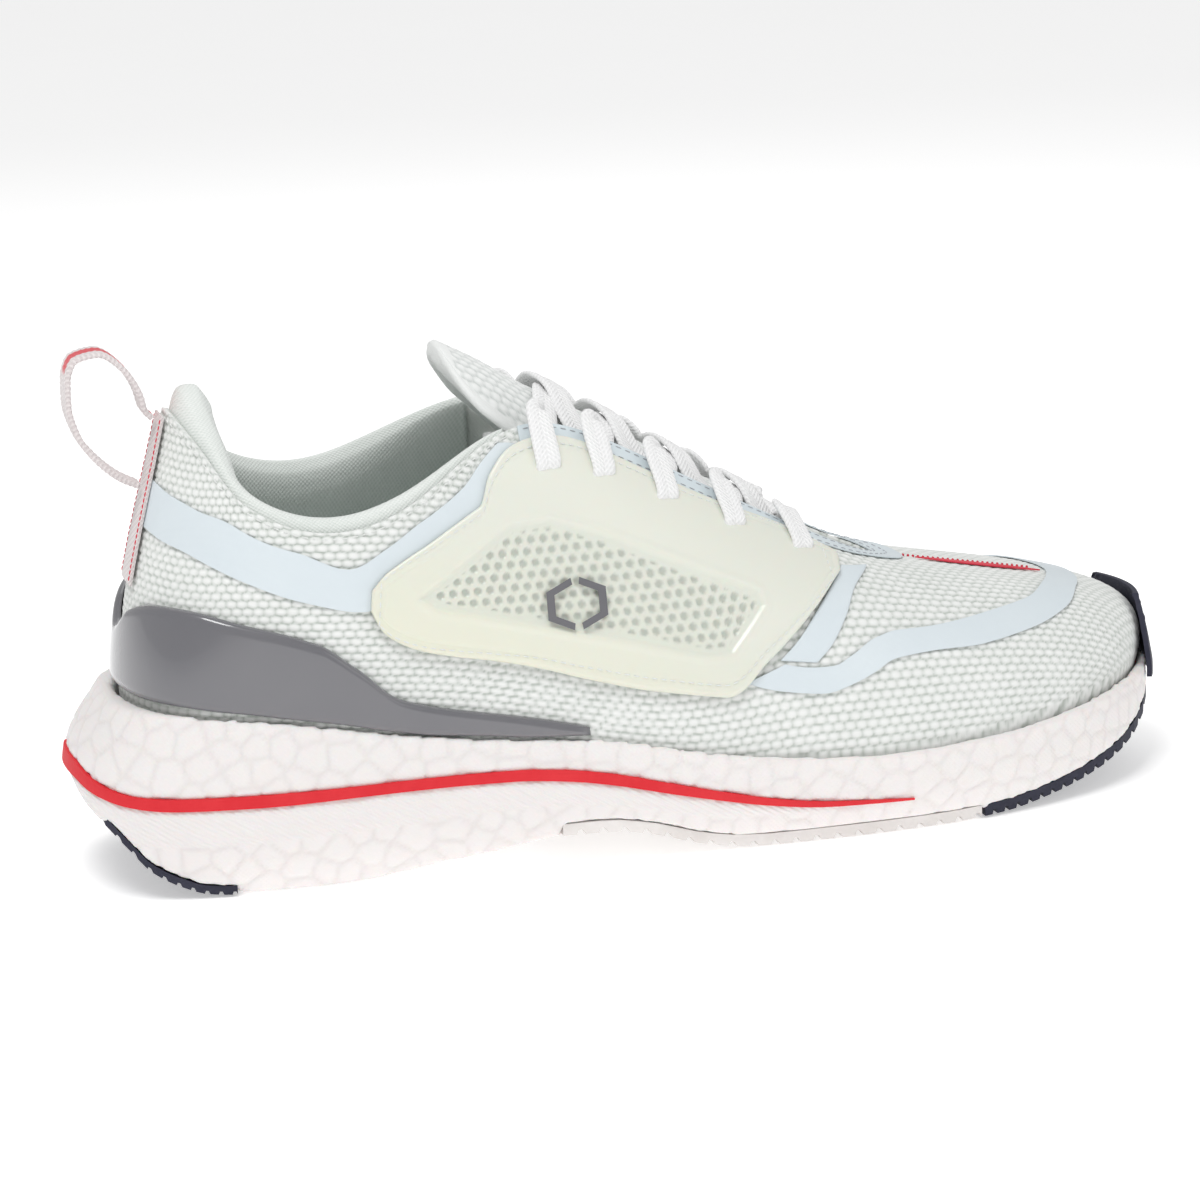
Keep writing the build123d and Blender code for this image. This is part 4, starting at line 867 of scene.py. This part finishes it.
def make_lace():
    """Flat tubular lace: rounded edges, two soft cords along it and a slight wander in width."""
    points, facing = lace_route()
    at = lengths(points, 0.5)
    fine = np.linspace(0, at[-1], 9000)
    curve, turn = natural_spline(at, points, fine), line_through(at, facing)(fine)
    length = lengths(curve)
    spots = np.linspace(0, length[-1], int(length[-1] / 0.75))
    centre, normal = (np.stack([np.interp(spots, length, row) for row in rows.T], -1)
                      for rows in (curve, turn))
    along = unit(np.gradient(centre, axis=0))
    normal = unit(normal - along * (normal * along).sum(1)[:, None])
    across = np.cross(along, normal)
    wide, high = rounded_section(9, LACE_WIDTH / 2, LACE_THICK / 2)
    puff = 0.16 * np.cos(wide / (LACE_WIDTH / 2) * math.pi * 2)
    breathe = 1 + 0.035 * np.sin(spots * 0.35)[:, None]
    ripple = 0.05 * np.sin(spots * 2.6)[:, None]
    u = wide[None, :] * breathe
    w = (high + np.sign(high) * (0.12 - puff * 0.6))[None, :] + np.sign(high)[None, :] * ripple
    rows = centre[:, None] + across[:, None] * u[..., None] + normal[:, None] * w[..., None]
    points, faces = loft(rows)
    new_piece("lace_cord", points, faces, FINISHES["lace"], "shoe", ("lace",),
              {"along": spots[:, None] + 0 * u, "across": wide[None, :] / (LACE_WIDTH / 2) + 0 * u})


def rounded_section(per_side, half_wide, half_thick):
    """Flat section with rounded edges, paired so that loft() can close its ends."""
    flat = half_wide - half_thick
    x = np.linspace(-1, 1, per_side) * flat
    bow = np.radians(np.linspace(90, -90, 5))
    right = np.stack([flat + half_thick * np.cos(bow), half_thick * np.sin(bow)], -1)
    top = np.stack([x, np.full_like(x, half_thick)], -1)
    bottom = np.stack([x[::-1], np.full_like(x, -half_thick)], -1)
    left = -right
    ring = np.concatenate([top[:-1], right, bottom[1:-1], left[:-1]])
    ring = np.concatenate([ring, left[-1:]]) if len(ring) % 2 else ring
    shift = np.roll(ring, 2, axis=0)
    return shift[:, 0], shift[:, 1]


# ---- pull loop ----
def make_loop():
    path = resample(LOOP_PATH, 170)
    tangent = unit(np.gradient(path, axis=0))
    normal = np.stack([tangent[:, 1], -tangent[:, 0]], -1)
    s = np.linspace(0, 1, len(path))
    half = (LOOP_ROOT_WIDTH + (LOOP_WIDTH - LOOP_ROOT_WIDTH) * smooth_step(np.minimum(s, 1 - s) / 0.16)) / 2
    wide, high = rounded_section(15, LOOP_WIDTH / 2, LOOP_THICK / 2)
    length = lengths(path)
    share = wide / (LOOP_WIDTH / 2)
    rib = 0.07 * np.sin(length * 4.6)[:, None] * (np.abs(high) > 0.4)
    x = path[:, :1] + normal[:, :1] * (high[None] + np.sign(high) * rib)
    z = path[:, 1:] + normal[:, 1:] * (high[None] + np.sign(high) * rib)
    y = half[:, None] * share[None]
    points, faces = loft(np.stack([x, y, z], -1))
    red = (np.abs(share) < 0.42)[None] * (np.sign(high) != 0)[None] + 0 * x
    stripe = red * (high > 0)[None] * smooth_step((0.5 - s) / 0.02)[:, None]
    new_piece("loop_strap", points, faces, FINISHES["loop"], "loop_body", ("pull_loop",),
              {"along": length[:, None] + 0 * x, "across": share[None] + 0 * x, "stripe": stripe})


# ---- moulded side panels ----
def polygon_inside(points, corners):
    """How far inside a polygon each point lies; negative outside."""
    x, z = points[..., 0], points[..., 1]
    nearest, inside = np.full(x.shape, 1e9), np.zeros(x.shape, bool)
    for (x0, z0), (x1, z1) in zip(corners, corners[1:] + corners[:1]):
        dx, dz = x1 - x0, z1 - z0
        t = np.clip(((x - x0) * dx + (z - z0) * dz) / (dx * dx + dz * dz), 0, 1)
        nearest = np.minimum(nearest, np.hypot(x - x0 - t * dx, z - z0 - t * dz))
        if z0 != z1:
            crosses = ((z0 > z) != (z1 > z)) & (x < x0 + (z - z0) * dx / dz)
            inside ^= crosses
    return np.where(inside, nearest, -nearest)


def hole_pattern(x, z, pitch, radius):
    """1 inside small round holes on a staggered grid."""
    best = np.full(x.shape, 9.0)
    row_high = pitch * 0.87
    row = np.round(z / row_high)
    for step in (-1, 0, 1):
        r = row + step
        offset = 0.5 * pitch * (r % 2)
        column = np.round((x - offset) / pitch)
        best = np.minimum(best, np.hypot(x - offset - column * pitch, z - r * row_high))
    return 1 - smooth_step((best - radius + 0.25) / 0.5)


def border_distance(point):
    """Rough distance of each grid point from the border of its own sheet."""
    down = lengths(np.moveaxis(point, 1, 0)).T
    along = lengths(point)
    return np.minimum(np.minimum(down, down[:, -1:] - down), np.minimum(along, along[-1:] - along))


def make_panels():
    """Clear panel: thick rounded rim, thin window with small holes."""
    grid = band_grid(on_upper(PANEL_LOW), on_upper(PANEL_HIGH), 270, 118)
    rib, v = grid[..., 0], grid[..., 1]
    point = upper_point(rib, v)
    flat = point[..., (0, 2)]
    depth_in = LAYER_GAP + FILM + LAYER_GAP
    edge = border_distance(point)
    round_off = 0.55 * rounded(edge, 1.1)
    inside = polygon_inside(flat, WINDOW)
    window = smooth_step((inside + 0.6) / 1.4)
    lip = np.exp(-((inside + 1.1) / 0.9) ** 2) * 0.18
    seam = np.exp(-(((edge - 2.7) / 0.45) ** 2)) * 0.14
    hole = hole_pattern(flat[..., 0] + 0.1 * flat[..., 1], flat[..., 1], 3.1, 0.95)
    hole = hole * smooth_step((inside - 1.4) / 0.6)
    height = PANEL - round_off - 0.55 * window + lip - seam - 0.5 * hole
    back = np.zeros(v.shape)
    place_sides(("clear_panel_lateral", "clear_panel_medial"), ("side_panel_lateral", "side_panel_medial"),
                lambda place: (skin(place(rib), v, depth_in + height), skin(place(rib), v, depth_in)),
                "panel",
                {"hole": np.concatenate([hole, back], 1), "thin": np.concatenate([window, back], 1)})


TAB_REAR = ((172.5, -43, 46.6), (178, -39, 50.5), (185, -32, 56.5), (190, -28, 60), (195.5, -20, 63.5))
TAB_FRONT = ((182.5, -43, 45.1), (187, -40, 48.4), (192.5, -33, 54), (197, -26, 59), (204, -17, 61.5))


def make_tabs():
    """Film tabs that run from the band at the ball of the foot up to the throat."""
    grid = band_grid(on_upper(TAB_REAR), on_upper(TAB_FRONT), 60, 24)
    rib, v = grid[..., 0], grid[..., 1]
    edge = border_distance(upper_point(rib, v))
    thin = FILM * 0.7 * (1 - smooth_step(edge / 0.8))
    place_sides(("film_tab_lateral", "film_tab_medial"), ("throat_tab_lateral", "throat_tab_medial"),
                lambda place: (skin(place(rib), v, LAYER_GAP + FILM - thin), skin(place(rib), v, LAYER_GAP)),
                "film")


FOOTBED = ((-5, 34), (15.5, 34), (42, 33), (63, 32), (86, 30), (110, 26), (134, 21), (160, 17.5),
           (190, 16), (220, 16.5), (248, 18), (271, 20), (295, 21.5))
INSOLE_LOW, INSOLE_THICK = 1.9, 4.0     # underside above the footbed, and thickness


def cut_width(ends, x):
    """Least and greatest y of a mesh's edges where they cross one x."""
    a, b = ends[:, 0], ends[:, 1]
    cross = (a[:, 0] - x) * (b[:, 0] - x) < 0
    a, b = a[cross], b[cross]
    y = a[:, 1] + (b[:, 1] - a[:, 1]) * (x - a[:, 0]) / (b[:, 0] - a[:, 0])
    return y.min(), y.max()


def make_insole():
    """Loose insole: textile top with a soft raised rim and small holes under the forefoot."""
    low, high = (np.array(c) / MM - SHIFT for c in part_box("insole"))
    bed = line_through(*np.array(FOOTBED, float).T)
    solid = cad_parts["insole"].data
    corner = np.array([v.co for v in solid.vertices]) / MM - SHIFT
    ends = corner[np.array([e.vertices for e in solid.edges])]
    x = low[0] + 0.4 + (high[0] - low[0] - 0.8) * (1 - np.cos(np.linspace(0, math.pi, 200))) / 2
    sides = np.array([cut_width(ends, place) for place in x]).T
    t = np.linspace(0, 1, 90)[None, :]
    y = sides[0][:, None] * (1 - t) + sides[1][:, None] * t
    xs = x[:, None] + 0 * y
    edge = np.minimum(np.minimum(y - sides[0][:, None], sides[1][:, None] - y),
                      np.minimum(xs - low[0], high[0] - xs))
    rim = 0.9 * np.exp(-(((edge - 3.0) / 2.4) ** 2)) - 1.6 * (1 - smooth_step(edge / 1.6))
    holes = hole_pattern(xs, y, 6.5, 0.8) * smooth_step((xs - 165) / 5) * smooth_step((edge - 7) / 2)
    top = bed(xs) + INSOLE_LOW + INSOLE_THICK + rim - 0.9 * holes
    bottom = bed(xs) + INSOLE_LOW + 0 * xs
    outer, inner = np.stack([xs, y, top], -1), np.stack([xs, y, bottom], -1)
    points, faces = loft(sandwich(outer, inner))
    piece = new_piece("sock_liner", points, faces, FINISHES["insole"], "insole_body", ("insole",))


def make_clip():
    """Glossy heel clip with a rounded border."""
    low, high = whole_heel(on_upper(CLIP_LOW)), whole_heel(on_upper(CLIP_HIGH))
    grid = band_grid(low, high, 260, 44)
    rib, v = grid[..., 0], grid[..., 1]
    point = upper_point(rib % RIBS, v)
    edge = border_distance(point)
    height = CLIP - (CLIP - 0.5) * rounded(edge, 2.6)
    outer = skin(rib % RIBS, v, LAYER_GAP + height)
    inner = skin(rib % RIBS, v, LAYER_GAP)
    points, faces = loft(sandwich(outer, inner))
    new_piece("heel_clip_shell", points, faces, FINISHES["clip"], "shoe", ("heel_clip",))


def whole_heel(line):
    """Border of the lateral half, carried on round the heel to the medial half."""
    line = line.copy()
    line[0, 0] = 0
    return np.concatenate([line[:0:-1] * (-1, 1), line])


# ---- midsole ----
BEAD = 5.6              # spacing of the foam's beads
BEAD_SEAM = 1.9
BEAD_DEEP = 0.36
FOAM_VOXEL = 0.98


def search_tree(mesh):
    return BVHTree.FromPolygons([v.co for v in mesh.vertices], [list(p.vertices) for p in mesh.polygons])


def outer_side(mesh):
    """Which vertices lie on the outside of the sidewall: nothing stands outward of them."""
    tree = search_tree(mesh)
    out = np.zeros(len(mesh.vertices))
    for i, vertex in enumerate(mesh.vertices):
        flat = Vector((vertex.normal.x, vertex.normal.y, 0))
        if flat.length < 0.35:
            continue
        start = vertex.co + vertex.normal * 0.0004 + flat.normalized() * 0.0004
        if tree.ray_cast(start, flat.normalized())[0] is None:
            out[i] = 1
    return out


def bead_centres(points, seed=7):
    """Seeded scatter of bead middles over the given points, none closer than BEAD."""
    order = np.random.default_rng(seed).permutation(len(points))
    cell, kept, used = BEAD, [], {}
    for i in order:
        p = points[i]
        key = tuple((p // cell).astype(int))
        near = [q for dx in (-1, 0, 1) for dy in (-1, 0, 1) for dz in (-1, 0, 1)
                for q in used.get((key[0] + dx, key[1] + dy, key[2] + dz), ())]
        if all(((p - q) ** 2).sum() > BEAD**2 for q in near):
            used.setdefault(key, []).append(p)
            kept.append(p)
    return kept


def make_midsole():
    """Bead foam: the solid is remeshed evenly and each bead on its sidewall swells a little."""
    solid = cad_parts["midsole"].data.copy()
    work = bmesh.new()
    work.from_mesh(solid)
    bmesh.ops.remove_doubles(work, verts=work.verts, dist=1e-6)
    work.to_mesh(solid)
    work.free()
    holder = bpy.data.objects.new("even_solid", solid)
    bpy.context.scene.collection.objects.link(holder)
    remesh = holder.modifiers.new("even", "REMESH")
    remesh.mode, remesh.voxel_size = "VOXEL", FOAM_VOXEL * MM
    even = worked_out(holder, "bead_midsole")
    place = np.array([v.co for v in even.vertices]) / MM
    normal = np.array([v.normal for v in even.vertices])
    side = outer_side(even)
    outside = place[side > 0]
    centres = bead_centres(outside)
    tree = kdtree.KDTree(len(centres))
    for i, p in enumerate(centres):
        tree.insert(p, i)
    tree.balance()
    bead = np.ones(len(place))
    for i in np.flatnonzero(side):
        first, second = tree.find_n(Vector(place[i]), 2)
        bead[i] = (second[2] - first[2]) / BEAD_SEAM
    bead = smooth_step(bead)
    ribbed = rib_zone(place) * side
    swell = -BEAD_DEEP * (1 - bead) * side * (1 - ribbed)
    moved = place + normal * swell[:, None]
    even.vertices.foreach_set("co", (moved * MM).astype(np.float32).ravel())
    # bead mark: 1 in the bead middles, 0 at the seams; the foam finish paints shade in the seams from it.
    add_mark(even, "bead", np.maximum(bead, ribbed))
    add_mark(even, "ribbed", ribbed)
    even.polygons.foreach_set("use_smooth", [True] * len(even.polygons))
    even.materials.clear()
    even.materials.append(FINISHES["foam"])
    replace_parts(put(even, "shoe"), "midsole")


STRIPE_LOW = ((0, 28), (13, 23.6), (41, 23), (104, 23.1), (128, 20.2), (158, 13.3), (206, 8.5))


def rib_zone(place):
    """Band of fine slanting ribs below the red stripe, fading out towards the ball of the foot."""
    drawn = place - SHIFT
    stripe = line_through(*np.array(STRIPE_LOW, float).T)(drawn[:, 0])
    under = stripe - drawn[:, 2]
    deep = np.interp(drawn[:, 0], (0, 20, 60, 100, 150, 190), (9, 9, 8, 7, 4, 1))
    return smooth_step(under / 0.8) * (1 - smooth_step((under - deep) / 1.2)) * (drawn[:, 0] < 185)


# ---- stitches, by Geometry Nodes ----
def row_tree(name, material):
    """Small rounded bars at an even spacing along a line."""
    tree = bpy.data.node_groups.new(name, "GeometryNodeTree")
    face = tree.interface
    face.new_socket("Line", in_out="INPUT", socket_type="NodeSocketGeometry")
    for label in ("Spacing", "Long", "Wide"):
        face.new_socket(label, in_out="INPUT", socket_type="NodeSocketFloat")
    face.new_socket("Stitches", in_out="OUTPUT", socket_type="NodeSocketGeometry")

    def node(kind, sockets=None, **settings):
        return add_node(tree, kind, sockets, settings)

    given = node("NodeGroupInput")
    curve = node("GeometryNodeMeshToCurve", {"Mesh": given.outputs["Line"]})
    spots = node("GeometryNodeCurveToPoints", {"Curve": curve.outputs[0], "Length": given.outputs["Spacing"]},
                 mode="LENGTH")
    bar = node("GeometryNodeMeshUVSphere", {"Segments": 6, "Rings": 4, "Radius": 0.5})
    size = node("ShaderNodeCombineXYZ", {0: given.outputs["Wide"], 1: given.outputs["Wide"],
                                         2: given.outputs["Long"]})
    copies = node("GeometryNodeInstanceOnPoints", {
        "Points": spots.outputs["Points"], "Instance": bar.outputs["Mesh"],
        "Rotation": spots.outputs["Rotation"], "Scale": size.outputs[0]})
    whole = node("GeometryNodeRealizeInstances", {0: copies.outputs[0]})
    painted = node("GeometryNodeSetMaterial", {"Geometry": whole.outputs[0], "Material": material})
    node("NodeGroupOutput", {0: painted.outputs[0]})
    return tree


def sew(name, lines, material, spacing, long, wide):
    """Row of stitches along lines in millimetres, as one piece."""
    line_mesh = bpy.data.meshes.new(name + "_line")
    points, edges, start = [], [], 0
    for line in lines:
        points += ((np.asarray(line) + SHIFT) * MM).tolist()
        edges += [(start + i, start + i + 1) for i in range(len(line) - 1)]
        start += len(line)
    line_mesh.from_pydata(points, edges, [])
    holder = bpy.data.objects.new(name + "_line", line_mesh)
    bpy.context.scene.collection.objects.link(holder)
    tree = row_tree(name + "_rule", material)
    modifier = holder.modifiers.new("stitches", "NODES")
    modifier.node_group = tree
    values = {"Spacing": spacing * MM, "Long": long * MM, "Wide": wide * MM}
    for item in tree.interface.items_tree:
        if item.item_type == "SOCKET" and item.in_out == "INPUT" and item.name in values:
            modifier[item.identifier] = values[item.name]
    put(worked_out(holder, name), "shoe")


def both_sides(rib, v, depth):
    """The same line on the lateral and on the medial side."""
    return [skin(rib, v, depth), skin(RIBS - rib, v, depth)]


def make_stitches():
    grid = band_grid(on_upper(PANEL_LOW), on_upper(PANEL_HIGH), 90, 40)
    ring = np.concatenate([grid[4:-3, 2], grid[-4, 2:-2], grid[-4:3:-1, -3], grid[3, -3:1:-1]])
    top = LAYER_GAP + FILM + LAYER_GAP + PANEL + 0.02
    sew("panel_stitches", both_sides(ring[:, 0], ring[:, 1], top), FINISHES["thread"], 2.3, 1.6, 0.42)
    rib = np.linspace(5.6, TOE_RIB, 160)
    lines = []
    for below in (1.1, 4.2):
        v = v_below(rib, below)
        lines += both_sides(rib, v, LAYER_GAP + FILM + 0.05)
    sew("eyestay_stitches", lines, FINISHES["grey_thread"], 2.6, 1.7, 0.36)
    rib = np.linspace(0.02, 5.3, 160)
    line = both_sides(rib, v_below(rib, 1.6), 0.05)
    sew("collar_stitches", line, FINISHES["thread"], 2.4, 1.6, 0.4)
    below = np.linspace(2.5, 41.5, 60)
    top = LAYER_GAP + FILM + LAYER_GAP + TAPE + 0.02
    lines = [skin(rib % RIBS, v_below(rib, below), top) for rib in (0.2, -0.2)]
    sew("tape_stitches", lines, FINISHES["red_thread"], 1.5, 1.3, 0.5)


def make_dots():
    """Row of small red printed dots beside the printed stripe."""
    tree = search_tree(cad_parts["upper_mesh"].data)
    line = []
    for x, y in zip(np.linspace(219, 256, 40), np.linspace(2.2, 1.2, 40)):
        above = Vector((np.array([x, y, 200.0]) + SHIFT) * MM)
        top = np.array(tree.ray_cast(above, Vector((0, 0, -1)))[0]) / MM - SHIFT
        line.append(top + (0, 0, 0.15))
    sew("vamp_dots", [line], FINISHES["red_thread"], 1.35, 0.7, 0.9)


# ---- stage ----
SKY, FLOOR_GLOW = 0.5, 0.4
LAMPS = (("key", (-0.35, -0.45, 1.2), 0.5, 7.6), ("fill", (0.9, -0.8, 0.5), 0.9, 1.6),
         ("back", (0.2, 1.0, 1.0), 1.0, 2.5))   # name, place, width, watts


def make_stage():
    bpy.ops.mesh.primitive_plane_add(size=40, location=(0, 0, -0.0004))
    floor = bpy.context.object
    floor.name = "floor"
    f = Finish("pale_floor", roughness=0.7, emission_color=(1, 1, 1, 1), emission_strength=FLOOR_GLOW)
    f.feed(base_color=f.blend(f.noise(3.0), (0.93, 0.93, 0.93), (0.95, 0.95, 0.95)))
    floor.data.materials.append(f.material)
    world = bpy.data.worlds.new("studio")
    world.use_nodes = True
    world.node_tree.nodes["Background"].inputs[0].default_value = (1, 1, 1, 1)
    world.node_tree.nodes["Background"].inputs[1].default_value = SKY
    bpy.context.scene.world = world
    for name, place, size, power in LAMPS:
        lamp = bpy.data.lights.new(name, "AREA")
        lamp.energy, lamp.size = power, size
        light = bpy.data.objects.new(name, lamp)
        light.location = place
        light.rotation_euler = (Vector((0, 0, 0.05)) - Vector(place)).to_track_quat("-Z", "Y").to_euler()
        bpy.context.scene.collection.objects.link(light)
    bpy.context.scene.view_settings.view_transform = "Standard"


VIEW_TURN = (-15.0, 13.0, 2.32)         # azimuth, elevation and roll in degrees
VIEW_TARGET, VIEW_AWAY = (145.0, 0.0, 60.0), 0.9
LENS, SENSOR, LENS_SHIFT = 105.5, 36.0, (-0.0192, -0.015)


def make_camera():
    azimuth, elevation, roll = np.radians(VIEW_TURN)
    back = Vector((math.sin(azimuth) * math.cos(elevation), -math.cos(azimuth) * math.cos(elevation),
                   math.sin(elevation)))
    right = (-back).cross(Vector((0, 0, 1))).normalized()
    up = right.cross(-back)
    tilted_right = right * math.cos(roll) - up * math.sin(roll)
    tilted_up = up * math.cos(roll) + right * math.sin(roll)
    data = bpy.data.cameras.new("camera")
    camera = bpy.data.objects.new("camera", data)
    bpy.context.scene.collection.objects.link(camera)
    target = Vector((np.array(VIEW_TARGET) + SHIFT) * MM)
    rows = Matrix((tilted_right, tilted_up, back)).transposed().to_4x4()
    rows.translation = target + back * VIEW_AWAY
    camera.matrix_world = rows
    data.lens, data.sensor_width = LENS, SENSOR
    data.shift_x, data.shift_y = LENS_SHIFT
    data.clip_start, data.clip_end = 0.01, 40
    bpy.context.scene.camera = camera


dress_nodes()
make_upper()
make_collar()
make_tongue()
make_lace()
make_loop()
make_panels()
make_tabs()
make_insole()
make_clip()
make_midsole()
make_stitches()
make_dots()
make_stage()
make_camera()
